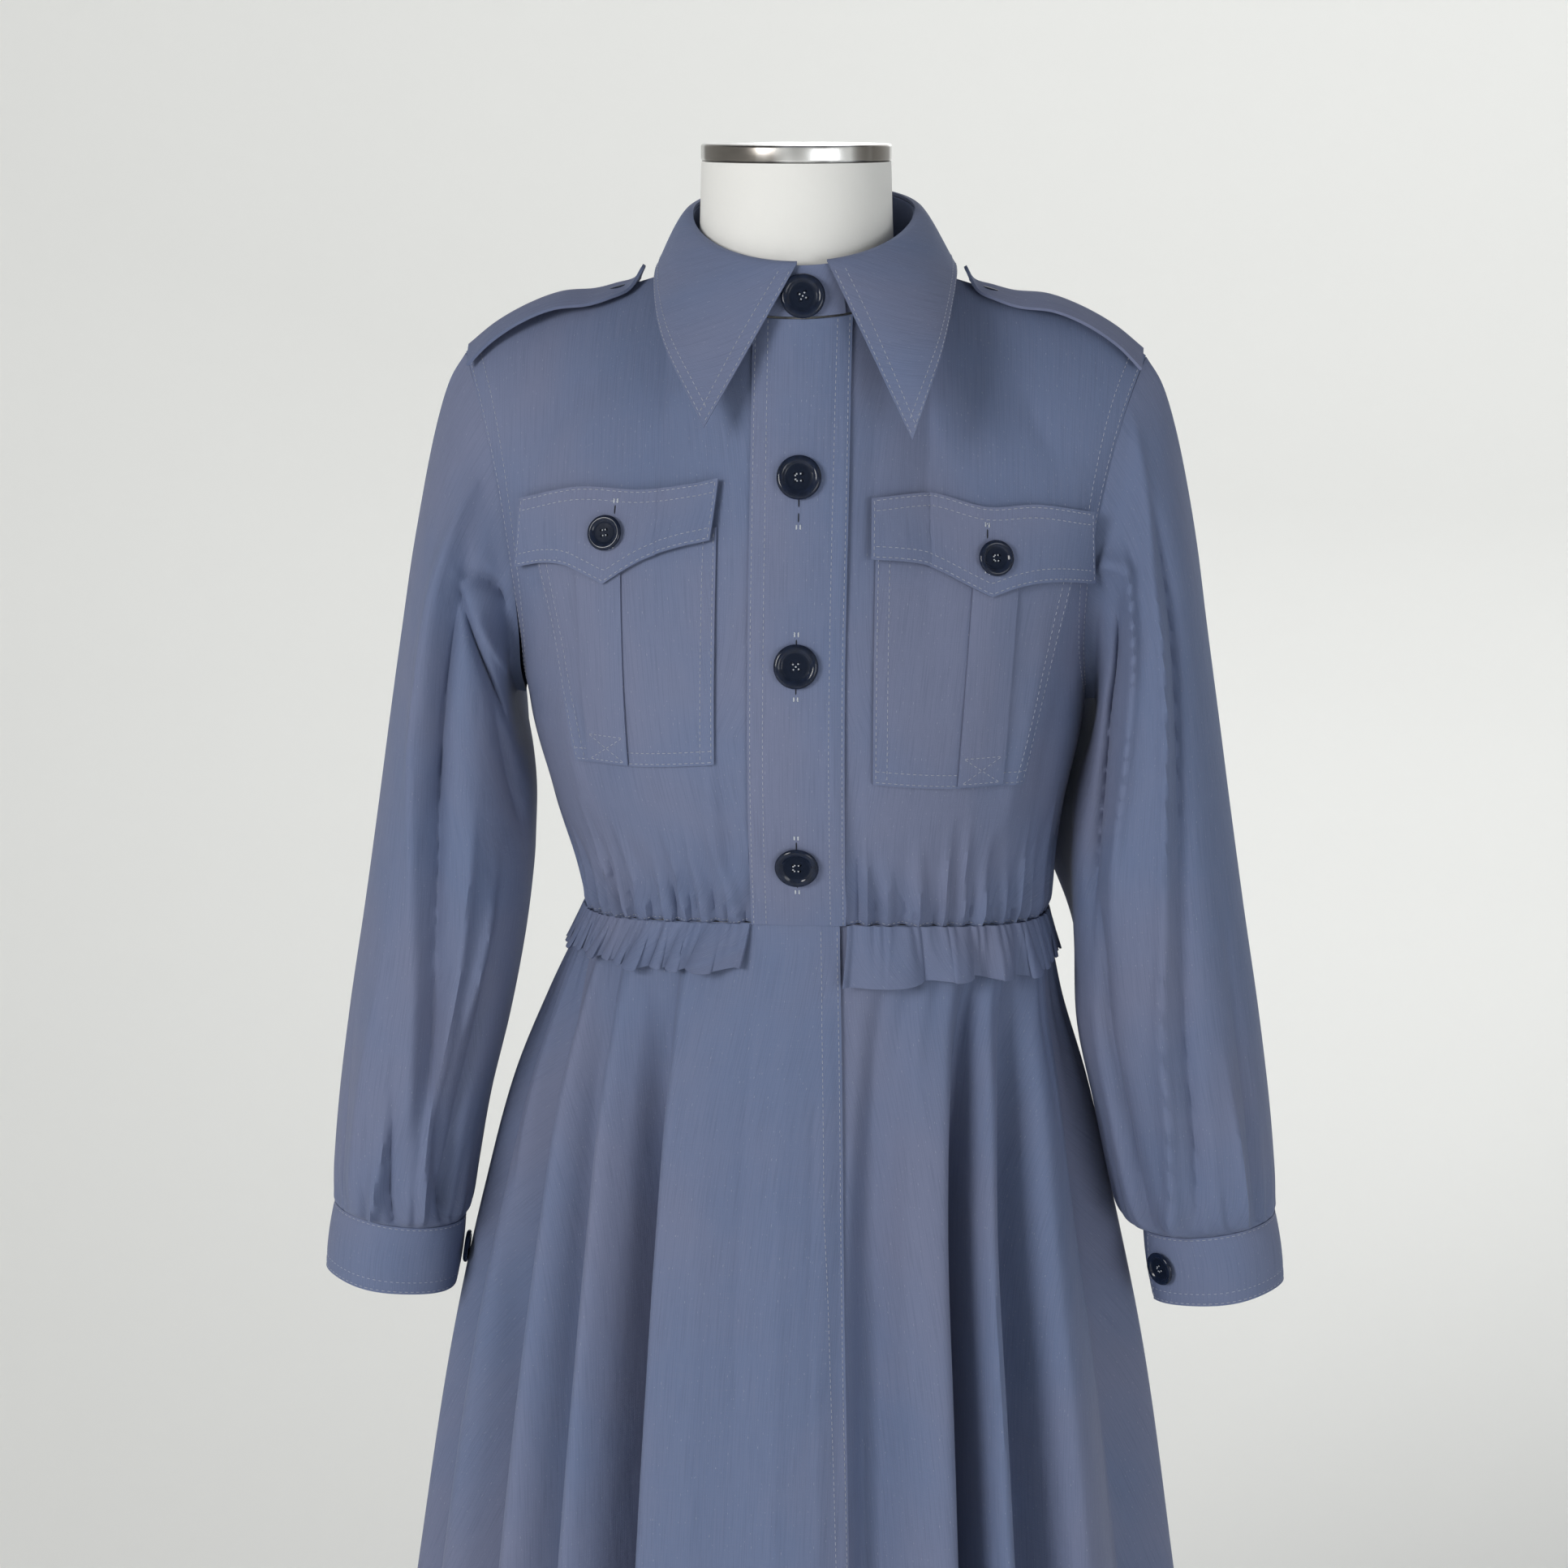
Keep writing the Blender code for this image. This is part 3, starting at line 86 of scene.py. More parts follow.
ROOM_RADIUS = 5.0
ROOM_CURVE = 2.6
ROOM_HEIGHT = 5.4
ROOM_STEPS = 8
ROOM_PALE = (0.86, 0.86, 0.84)
SKY_TINT = (0.93, 0.96, 1.0, 1)
SKY_STRENGTH = 0.24

bpy.ops.mesh.primitive_circle_add(vertices=96, radius=ROOM_RADIUS - ROOM_CURVE, fill_type="NGON")
room = bpy.context.object
room.name = "room"
bpy.ops.object.mode_set(mode="EDIT")
bpy.ops.mesh.select_mode(type="EDGE")
bpy.ops.mesh.select_all(action="SELECT")
bpy.ops.mesh.inset(thickness=0.4)
bpy.ops.mesh.select_all(action="INVERT")
for i in range(ROOM_STEPS):
    low, high = math.pi / 2 * i / ROOM_STEPS, math.pi / 2 * (i + 1) / ROOM_STEPS
    wide = ROOM_RADIUS - ROOM_CURVE + ROOM_CURVE * math.sin(low)
    grow = ROOM_CURVE * (math.sin(high) - math.sin(low)) / wide + 1
    lift = ROOM_CURVE * (math.cos(low) - math.cos(high))
    bpy.ops.mesh.select_all(action="DESELECT")
    bpy.ops.mesh.select_non_manifold(extend=False)
    bpy.ops.mesh.extrude_region_move(TRANSFORM_OT_translate={"value": (0, 0, lift)})
    bpy.ops.transform.resize(value=(grow, grow, 1), center_override=(0, 0, 0))
bpy.ops.mesh.extrude_region_move(TRANSFORM_OT_translate={"value": (0, 0, ROOM_HEIGHT - ROOM_CURVE)})
bpy.ops.mesh.select_all(action="SELECT")
bpy.ops.mesh.normals_make_consistent(inside=True)
bpy.ops.object.mode_set(mode="OBJECT")
bpy.ops.object.shade_smooth()
room.data.materials.append(paint("room_paint", ROOM_PALE, 0.9)[0])

bpy.context.scene.view_settings.view_transform = "Standard"
world = bpy.data.worlds.new("sky")
bpy.context.scene.world = world
world.use_nodes = True
sky = world.node_tree.nodes["Background"]
sky.inputs["Color"].default_value = SKY_TINT
sky.inputs["Strength"].default_value = SKY_STRENGTH

# Each light's place, the point it faces, its width, its power in watts and its tint.
LIGHTS = {
    "key": ((-2.2, -3.0, 2.2), (0, 0, 0.95), 1.3, 82, (1.0, 0.985, 0.96)),
    "fill": ((2.4, -3.0, 1.0), (0, 0, 0.8), 1.8, 40, (0.96, 0.98, 1.0)),
    "back": ((0.6, 3.2, 2.6), (0, 0, 1.0), 2.0, 16, (0.97, 0.98, 1.0)),
    "wall": ((0.9, 1.6, 3.6), (0.5, 5.0, 2.4), 2.2, 60, (0.98, 0.99, 1.0)),
}
for name, (place, target, wide, power, colour) in LIGHTS.items():
    aim = (Vector(target) - Vector(place)).to_track_quat("-Z", "Y")
    bpy.ops.object.light_add(type="AREA", location=place, rotation=aim.to_euler())
    light = bpy.context.object
    light.name = name
    light.data.shape = "SQUARE"
    light.data.size = wide
    light.data.energy = power
    light.data.color = colour


# Coat cloth
# A slate-blue cotton in plain weave: a blue warp and a grey-lilac weft give it a soft two-tone sheen.
# Thick places in the yarns show as fine streaks along the warp and shorter ones across.

WALL = 0.0014
GAP = 0.0003
LAYER = WALL + GAP
CLOTH_BLUE = (0.113, 0.149, 0.258)
CLOTH_LILAC = (0.141, 0.162, 0.257)
CLOTH_DEEP = (0.088, 0.108, 0.180)
CLOTH_FLECK = (0.40, 0.42, 0.48)
SEWING_GREY = (0.30, 0.32, 0.40)
THREAD_SPACING = 0.00042

# Lumps to the metre across and down the cut: the yarns' thick places, the flecks, the broad shading
# between the two colours, and the slack of the cloth.
WARP_LUMPS = (1500, 26)
WEFT_LUMPS = (34, 1700)
FLECK_LUMPS = (1500, 380)
BROAD_LUMPS = (7, 5)
SLACK_LUMPS = (52, 30)


def node(tree, kind, inputs=(), **settings):
    """A new shader node, with its settings and its inputs, each a value or another node's socket."""
    made = tree.nodes.new(kind)
    for name, value in settings.items():
        setattr(made, name, value)
    for name, value in dict(inputs).items():
        if isinstance(value, bpy.types.NodeSocket):
            tree.links.new(value, made.inputs[name])
        else:
            made.inputs[name].default_value = value
    return made


def stretched_noise(tree, where, scale, detail=2.0):
    """Noise over the flat cut, with its own count of lumps to the metre each way."""
    spread = node(tree, "ShaderNodeVectorMath", {0: where, 1: (*scale, 1)}, operation="MULTIPLY")
    return node(
        tree,
        "ShaderNodeTexNoise",
        {"Vector": spread.outputs[0], "Scale": 1.0, "Detail": detail, "Roughness": 0.55},
        noise_dimensions="2D",
    ).outputs["Fac"]


def ramp(tree, value, low, high):
    """0 to 1 as the value goes from low to high."""
    ends = {"Value": value, "From Min": low, "From Max": high}
    return node(tree, "ShaderNodeMapRange", ends).outputs[0]


def mixed(tree, share, first, second):
    """One colour fading into another."""
    made = node(tree, "ShaderNodeMix", {"Factor": share}, data_type="RGBA")
    for socket, value in ((made.inputs[6], first), (made.inputs[7], second)):
        if isinstance(value, bpy.types.NodeSocket):
            tree.links.new(value, socket)
        else:
            socket.default_value = (*value, 1)
    return made.outputs[2]


def maths(tree, operation, first, second):
    """One sum on two values."""
    return node(tree, "ShaderNodeMath", {0: first, 1: second}, operation=operation).outputs[0]


def woven(name, blue, lilac, deep):
    """The coat's cloth: colour, streaks, weave and sheen, all laid out on the flat cut."""
    made, shader, tree = paint(name, blue, 0.78)
    cut = node(tree, "ShaderNodeUVMap", uv_map="flat_cut").outputs[0]
    sides = node(tree, "ShaderNodeSeparateXYZ", {0: cut})
    warp = stretched_noise(tree, cut, WARP_LUMPS)
    weft = stretched_noise(tree, cut, WEFT_LUMPS)
    fleck = stretched_noise(tree, cut, FLECK_LUMPS, 0.0)
    broad = stretched_noise(tree, cut, BROAD_LUMPS, 3.0)
    shade = mixed(tree, ramp(tree, broad, 0.35, 0.65), blue, lilac)
    streaks = (
        (warp, 0.46, 0.72, 0.34, lilac),
        (warp, 0.50, 0.30, 0.32, deep),
        (weft, 0.56, 0.76, 0.26, lilac),
        (fleck, 0.86, 0.89, 0.30, CLOTH_FLECK),
    )
    for lumps, low, high, share, colour in streaks:
        covered = maths(tree, "MULTIPLY", ramp(tree, lumps, low, high), share)
        shade = mixed(tree, covered, shade, colour)
    tree.links.new(shade, shader.inputs["Base Color"])
    threads = []
    for side in ("X", "Y"):
        angle = maths(tree, "MULTIPLY", sides.outputs[side], 2 * math.pi / THREAD_SPACING)
        threads.append(maths(tree, "SINE", angle, 0.0))
    weave = maths(tree, "MULTIPLY", *threads)
    yarns = [maths(tree, "MULTIPLY", *pair) for pair in ((warp, 1.6), (weft, 1.1), (weave, 0.35))]
    height = maths(tree, "ADD", yarns[2], maths(tree, "ADD", *yarns[:2]))
    fine = node(tree, "ShaderNodeBump", {"Height": height, "Strength": 0.35, "Distance": 0.00016})
    slack = stretched_noise(tree, cut, SLACK_LUMPS, 3.0)
    soft = node(tree, "ShaderNodeBump", {"Height": slack, "Strength": 0.4, "Distance": 0.0016})
    tree.links.new(fine.outputs[0], soft.inputs["Normal"])
    tree.links.new(soft.outputs[0], shader.inputs["Normal"])
    shader.inputs["Sheen Weight"].default_value = 0.12
    shader.inputs["Sheen Roughness"].default_value = 0.38
    shader.inputs["Sheen Tint"].default_value = (0.72, 0.76, 0.95, 1)
    shader.inputs["Specular IOR Level"].default_value = 0.3
    return made


COAT_CLOTH = woven("coat_cloth", CLOTH_BLUE, CLOTH_LILAC, CLOTH_DEEP)
SEWING_THREAD, shader, tree = paint("sewing_thread", SEWING_GREY, 0.6)
shader.inputs["Sheen Weight"].default_value = 0.2


# Back of the bodice
# One cut piece of cloth from side seam to side seam, drawn in to the waist by a gathering thread and
# lying on the form from there up to the neckline and the shoulder seams.

WAIST = 1.020
UNDERARM = 1.148
SHOULDER = 1.350
WAIST_RISE = {"front": 0.014, "back": 0.004}
NECK_SHARE = 0.36
NECK_WIDE = 0.072
NECK_CENTRE_Y = 0.006
NECK_SIDE_Z = 1.398
NECK = {"front": (-0.075, 1.376), "back": (0.060, 1.412)}


def table(names, *rows):
    """A short table with named columns."""
    return {name: np.array([row[i] for row in rows], float) for i, name in enumerate(names.split())}


TORSO = table(
    "height half_width front_depth back_depth",
    (1.020, 0.1360, -0.100, 0.085),
    (1.050, 0.1415, -0.110, 0.091),
    (1.090, 0.1520, -0.121, 0.098),
    (1.148, 0.1645, -0.127, 0.106),
    (1.190, 0.1640, -0.124, 0.109),
    (1.232, 0.1670, -0.116, 0.108),
    (1.280, 0.1745, -0.104, 0.102),
    (1.324, 0.1865, -0.090, 0.090),
    (1.350, 0.1980, -0.080, 0.080),
)

# Where the armhole's edge lies at each height, and how far round an oval each face reaches there.
ARMHOLE = table(
    "height front_edge back_edge front_wrap back_wrap",
    (1.148, 0.000, 0.000, 90, 90),
    (1.168, -0.024, 0.028, 82, 83),
    (1.190, -0.036, 0.041, 76, 78),
    (1.232, -0.046, 0.052, 70, 72),
    (1.280, -0.042, 0.048, 65, 66),
    (1.324, -0.027, 0.031, 60, 60),
    (1.350, 0.000, 0.000, 60, 60),
)
SHOULDER_LINE = table(
    "share z", (0, NECK_SIDE_Z), (0.3, 1.3865), (0.6, 1.3750), (0.9, 1.3600), (1, SHOULDER)
)

# How far the middle of the dress hangs to the wearer's left at each height.
SWAY = table(
    "height x",
    (0.300, -0.0045),
    (0.600, -0.0045),
    (0.753, -0.0035),
    (0.839, -0.0030),
    (0.921, -0.0010),
    (0.964, 0.0015),
    (1.020, 0.0080),
    (1.090, 0.0040),
    (1.148, 0.0020),
    (1.232, 0.0000),
    (1.350, 0.0000),
)


def smooth_step(t, start, end, start_slope, end_slope):
    """A smooth curve from start to end, with the given slopes there, as t goes from 0 to 1."""
    points = (2 * t**3 - 3 * t**2 + 1) * start + (3 * t**2 - 2 * t**3) * end
    return points + (t**3 - 2 * t**2 + t) * start_slope + (t**3 - t**2) * end_slope


def along(rows, key, name, at):
    """A column of a table at places along another column, on a smooth curve through its rows."""
    x, y = rows[key], rows[name]
    if x[0] > x[-1]:
        x, y = x[::-1], y[::-1]
    at = np.clip(np.asarray(at, float), x[0], x[-1])
    slope = np.gradient(y, x)
    i = np.clip(np.searchsorted(x, at) - 1, 0, len(x) - 2)
    step = x[i + 1] - x[i]
    return smooth_step((at - x[i]) / step, y[i], y[i + 1], slope[i] * step, slope[i + 1] * step)


def unit(vectors):
    """The vectors at length 1."""
    return vectors / np.maximum(np.linalg.norm(vectors, axis=-1, keepdims=True), 1e-12)


def rise(t):
    """0 to 1 with a smooth start and end."""
    t = np.clip(t, 0, 1)
    return t * t * (3 - 2 * t)


def waist_rise(face, share):
    """How far the waist seam rides up, most at the middle of the front and the back."""
    return WAIST_RISE[face] * np.cos(share * math.pi / 2) ** 2


def top_line(face, share):
    """The neckline, from the centre out, and then the shoulder seam, to the shoulder point."""
    centre_y, centre_z = NECK[face]
    turn = np.clip(share / NECK_SHARE, 0, 1) * math.pi / 2
    out = np.clip((share - NECK_SHARE) / (1 - NECK_SHARE), 0, 1)
    on_neck = share < NECK_SHARE
    shoulder_x = NECK_WIDE + (TORSO["half_width"][-1] - NECK_WIDE) * out
    x = np.where(on_neck, NECK_WIDE * np.sin(turn), shoulder_x)
    neck_y = NECK_CENTRE_Y + (centre_y - NECK_CENTRE_Y) * np.cos(turn)
    y = np.where(on_neck, neck_y, NECK_CENTRE_Y * (1 - out))
    neck_z = centre_z + (NECK_SIDE_Z - centre_z) * (1 - np.cos(turn))
    return np.stack([x, y, np.where(on_neck, neck_z, along(SHOULDER_LINE, "share", "z", out))], -1)


def bodice(face, share, height):
    """A point on the middle of the cloth. Share runs from -1 at the wearer's right edge to 1, and
    height is that of the side seam or armhole edge on the same row."""
    share, height = np.broadcast_arrays(np.asarray(share, float), np.asarray(height, float))
    size = np.abs(share)
    edge_y = along(ARMHOLE, "height", face + "_edge", height)
    depth = along(TORSO, "height", face + "_depth", height)
    wrap = np.radians(along(ARMHOLE, "height", face + "_wrap", height))
    turn = size * wrap
    x = along(TORSO, "height", "half_width", height) * np.sin(turn) / np.sin(wrap)
    y = edge_y + (depth - edge_y) * (np.cos(turn) - np.cos(wrap)) / (1 - np.cos(wrap))
    z = height + waist_rise(face, size) * (1 - rise((height - WAIST) / (UNDERARM - WAIST)))
    near_top = np.clip((height - UNDERARM) / (SHOULDER - UNDERARM), 0, 1)
    blend = (near_top ** (2 + 6 * size**4))[..., None]
    point = np.stack([x, y, z], -1) * (1 - blend) + top_line(face, size) * blend
    point[..., 0] = point[..., 0] * np.sign(share) + along(SWAY, "height", "x", height)
    return point


def bodice_normal(face, share, height):
    """The cloth's outward direction at a point of the bodice."""
    step = 1e-3
    share, height = np.broadcast_arrays(np.asarray(share, float), np.asarray(height, float))
    after, before = np.clip(share + step, -1, 1), np.clip(share - step, -1, 1)
    up, down = np.clip(height + step, WAIST, SHOULDER), np.clip(height - step, WAIST, SHOULDER)
    sides = bodice(face, after, height) - bodice(face, before, height)
    rows = bodice(face, share, up) - bodice(face, share, down)
    return unit(np.cross(sides, rows) if face == "front" else np.cross(rows, sides))


def drawn(lines, across, down):
    """How far soft creases lift or sink a surface. Each row of lines runs from one point to another,
    in the surface's own two measures, and fades out over its width and towards its ends."""
    total = np.zeros_like(across)
    for x0, z0, x1, z1, wide, out in zip(*lines.values()):
        run = (across - x0) * (x1 - x0) + (down - z0) * (z1 - z0)
        near = np.clip(run / ((x1 - x0) ** 2 + (z1 - z0) ** 2), 0, 1)
        off = np.hypot(across - x0 - (x1 - x0) * near, down - z0 - (z1 - z0) * near)
        fade = np.sin(math.pi * np.clip(near * 0.9 + 0.05, 0, 1)) ** 0.7
        total = total + out * fade * np.exp(1.6 * (0.2 - np.sqrt((off / wide) ** 2 + 0.06)))
    return total


# Soft creases of the bodice, seen from the front or the back, in metres: a start and an end, a width,
# and how far each stands out.
BODICE_CREASES = {
    "front": table(
        "x0 z0 x1 z1 wide out",
        (-0.060, 1.345, -0.085, 1.300, 0.010, 0.0016),
        (-0.125, 1.345, -0.150, 1.290, 0.009, -0.0016),
        (-0.108, 1.330, -0.128, 1.292, 0.008, 0.0012),
        (-0.052, 1.310, -0.048, 1.240, 0.008, -0.0012),
        (-0.150, 1.250, -0.128, 1.140, 0.010, -0.0018),
        (-0.038, 1.130, -0.034, 1.060, 0.005, -0.0020),
        (-0.046, 1.140, -0.041, 1.050, 0.006, 0.0022),
        (-0.139, 1.190, -0.120, 1.090, 0.008, 0.0022),
        (0.075, 1.340, 0.085, 1.300, 0.010, 0.0015),
        (0.120, 1.345, 0.150, 1.290, 0.010, -0.0015),
        (0.100, 1.335, 0.118, 1.296, 0.008, 0.0010),
        (0.046, 1.320, 0.044, 1.270, 0.007, -0.0010),
        (0.036, 1.125, 0.040, 1.050, 0.007, -0.0018),
        (0.140, 1.200, 0.118, 1.080, 0.009, 0.0022),
        (0.155, 1.180, 0.138, 1.090, 0.008, -0.0018),
    ),
    "back": table(
        "x0 z0 x1 z1 wide out",
        (-0.030, 1.360, -0.060, 1.300, 0.012, 0.0015),
        (0.050, 1.355, 0.090, 1.300, 0.012, 0.0014),
        (-0.135, 1.290, -0.110, 1.180, 0.013, -0.0020),
        (0.135, 1.280, 0.105, 1.170, 0.013, -0.0018),
        (-0.100, 1.240, -0.085, 1.100, 0.014, 0.0024),
        (0.090, 1.230, 0.080, 1.090, 0.014, 0.0022),
        (0.010, 1.200, 0.000, 1.080, 0.012, -0.0018),
    ),
}
BODICE_CREASE_DEPTH = 1.4
HALF_WAIST = 0.205
GATHER_LARGE = 0.0148
GATHER_SMALL = 0.0062


def gathers(at, up):
    """The bodice's small folds above the waist seam: crowded at the seam, fewer and softer higher up,
    and each with its own reach. At is the distance round the waist and up that above the seam."""
    wobble = 1.4 * np.sin(at * 310) + 0.8 * np.sin(at * 137 + 1)
    small = np.sin(2 * math.pi * at / GATHER_SMALL + wobble)
    phase = 2 * math.pi * at / GATHER_LARGE + 1.1 * np.sin(at * 121 + 2) + up * 9
    large = np.sin(phase) - 0.35 * np.cos(2 * phase)
    reach = 0.030 + 0.016 * np.sin(at * 233 + 0.6) + 0.012 * np.sin(at * 88)
    near = 0.55 + 0.45 * rise(up / 0.010)
    small = 0.0017 * small * (1 - rise(up / reach))
    return near * (small + 0.0030 * large * (1 - rise(up / (reach + 0.042))))


def skin(face, share, height, gathered=True):
    """A point of the worn bodice with its creases and gathers, and its outward direction."""
    point = bodice(face, share, height)
    out = bodice_normal(face, share, height)
    lift = BODICE_CREASE_DEPTH * drawn(BODICE_CREASES[face], point[..., 0], point[..., 2])
    if gathered:
        at = np.asarray(share) * HALF_WAIST + (0.5 if face == "back" else 0)
        lift = lift + gathers(at, np.asarray(height) - WAIST)
    return point + out * lift[..., None], out


def run_along(points):
    """The distance along a line of points, or along many side by side, from its first point."""
    steps = np.linalg.norm(np.diff(points, axis=0), axis=-1)
    return np.concatenate([np.zeros_like(steps[:1]), np.cumsum(steps, axis=0)])


def sheet(name, place, cells, wall=WALL, around=False):
    """A piece of cloth: a grid whose points are moved to place(u, v) and then thickened to its wall.
    Its UV map is the flat cut in metres, so that the weave runs straight in it."""
    bpy.ops.object.select_all(action="DESELECT")
    bpy.ops.mesh.primitive_grid_add(x_subdivisions=cells[0], y_subdivisions=cells[1], size=1)
    piece = bpy.context.object
    piece.name = piece.data.name = name
    mesh = piece.data
    at = np.empty(len(mesh.vertices) * 3)
    mesh.vertices.foreach_get("co", at)
    at = at.reshape(-1, 3)
    points = place(at[:, 0] + 0.5, at[:, 1] + 0.5)
    mesh.vertices.foreach_set("co", points.ravel())
    rows = points.reshape(cells[1] + 1, cells[0] + 1, 3)
    middle = cells[0] // 2
    across = run_along(rows.transpose(1, 0, 2)).T
    down = run_along(rows[:, middle])
    flat = np.stack([across - across[:, middle, None], np.tile(down[:, None], cells[0] + 1)], -1)
    corners = np.empty(len(mesh.loops), int)
    mesh.loops.foreach_get("vertex_index", corners)
    mesh.uv_layers[0].name = "flat_cut"
    mesh.uv_layers[0].data.foreach_set("uv", flat.reshape(-1, 2)[corners].ravel())
    if around:
        bpy.ops.object.mode_set(mode="EDIT")
        bpy.ops.mesh.select_all(action="SELECT")
        bpy.ops.mesh.remove_doubles(threshold=1e-5)
        bpy.ops.object.mode_set(mode="OBJECT")
    thicken = piece.modifiers.new("wall", "SOLIDIFY")
    thicken.thickness = wall
    thicken.offset = 0
    bpy.ops.object.modifier_apply(modifier="wall")
    bpy.ops.object.shade_smooth()
    mesh.set_sharp_from_angle(angle=math.radians(60))
    mesh.materials.append(COAT_CLOTH)
    return piece


def stand_for(piece, cad_node):
    """Attaches a piece to the root and hides the CAD node that it stands for."""
    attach(piece, "root")
    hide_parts(cad_node)


def worn(piece, cad_node, held="stretched", rests_on="form_body"):
    """Ties a sheet of the coat to its CAD node. The sheet's cut isn't a rectangle."""
    stand_for(piece, cad_node)


def bodice_height(v):
    """The rows of the bodice, from the waist seam to the shoulder."""
    return WAIST + GAP / 2 + (SHOULDER - WAIST - GAP) * v


def back_place(u, v):
    point, out = skin("back", 1 - 2 * u, bodice_height(v))
    return point


back = sheet("back_cloth", back_place, (110, 76))
worn(back, "back")


# Fronts of the bodice
# The right front ends at the button band's edge. The left front runs on under the band. Both are
# gathered at the waist and sewn to the back at the side and shoulder seams.

FRONT_X = 0.004
BAND_HALF = 0.027
UNDER_SHORT = 0.003
UNDER_SUNK = 0.0011
UNDER_SHARE = 0.22
HEIGHTS = np.linspace(WAIST, SHOULDER, 45)


def share_at(face, x, height):
    """The share at which a row of the bodice has the given x."""
    low, high = np.full(np.shape(height), -1.0), np.full(np.shape(height), 1.0)
    for _ in range(34):
        middle = (low + high) / 2
        near = bodice(face, middle, height)[..., 0] < x
        low, high = np.where(near, middle, low), np.where(near, high, middle)
    return (low + high) / 2


def front_line(x):
    """A line down the front at one x, as a function that gives its share at each height."""
    shares = share_at("front", x, HEIGHTS)
    return lambda height: np.interp(height, HEIGHTS, shares)


BAND_RIGHT, BAND_LEFT = (front_line(FRONT_X + side * BAND_HALF) for side in (-1, 1))


def front_place(first, last, gathered=True, lift=0.0):
    """The place function of a front panel between two lines, each a function of the height."""

    def place(u, v):
        height = bodice_height(v)
        share = first(height) + (last(height) - first(height)) * u
        point, out = skin("front", share, height, gathered)
        return point + out * lift

    return place


right_place = front_place(lambda h: -1.0, BAND_RIGHT)
left_place = front_place(BAND_LEFT, lambda h: 1.0)
under_place = front_place(
    front_line(FRONT_X - BAND_HALF + UNDER_SHORT), BAND_LEFT, False, -UNDER_SUNK
)


def left_front_place(u, v):
    """The left front: a flat stretch under the band, then the gathered stretch out to the side."""
    flat = under_place(np.clip(u / UNDER_SHARE, 0, 1), v)
    free = left_place(np.clip((u - UNDER_SHARE) / (1 - UNDER_SHARE), 0, 1), v)
    return np.where((u < UNDER_SHARE)[:, None], flat, free)


front_right = sheet("front_right_cloth", right_place, (84, 120))
worn(front_right, "front_right")
front_left = sheet("front_left_cloth", left_front_place, (104, 120))
worn(front_left, "front_left")


# Sewing rows
# Every edge is topstitched in a pale grey-lilac thread, most of them in two rows. Each stitch is its
# own short piece of thread, bedded in the cloth at both ends.

STITCH = 0.0028
STITCH_GAP = 0.0007
STITCH_RADIUS = 0.00022
STITCH_SUNK = 0.00002
GROOVE = 0.0009


def grooves(inset, rows, wide=GROOVE):
    """How far the cloth is drawn in by rows of stitches, from 0 to 1, at an inset from the edge."""
    return sum(np.exp(-(((inset - row) / wide) ** 2)) for row in rows)


def rim(place, edge, inset, first=0.0, last=1.0, steps=160):
    """A row at an inset in metres from an edge of a piece, as points and outward directions. Edges are
    named by the side of the grid: left, right, bottom or top."""
    run = np.linspace(first, last, steps)
    small = 1e-3
    at_end = float(edge in ("right", "top"))
    inner = 1 - small if at_end else small

    def spot(depth):
        return (depth, run) if edge in ("left", "right") else (run, depth)

    step = place(*spot(np.full(steps, inner))) - place(*spot(np.full(steps, at_end)))
    depth = inset / np.maximum(np.linalg.norm(step, axis=1) / small, 1e-6)
    return path_on(place, *spot(1 - depth if at_end else depth))


def path_on(place, u, v):
    """Points of a piece along a path in its grid, and the outward directions there."""
    small = 2e-3
    before_u, after_u = np.clip(u - small, 0, 1), np.clip(u + small, 0, 1)
    before_v, after_v = np.clip(v - small, 0, 1), np.clip(v + small, 0, 1)
    out = np.cross(place(after_u, v) - place(before_u, v), place(u, after_v) - place(u, before_v))
    return place(u, v), unit(out)


def rims(place, edges, insets, first=0.0, last=1.0, steps=160):
    """The rows at each inset from each of the edges."""
    return [rim(place, edge, inset, first, last, steps) for edge in edges for inset in insets]


def meshed(name, verts, edges, faces):
    """A new piece from its points."""
    mesh = bpy.data.meshes.new(name)
    mesh.from_pydata(verts, edges, faces)
    piece = bpy.data.objects.new(name, mesh)
    bpy.context.scene.collection.objects.link(piece)
    return piece, mesh


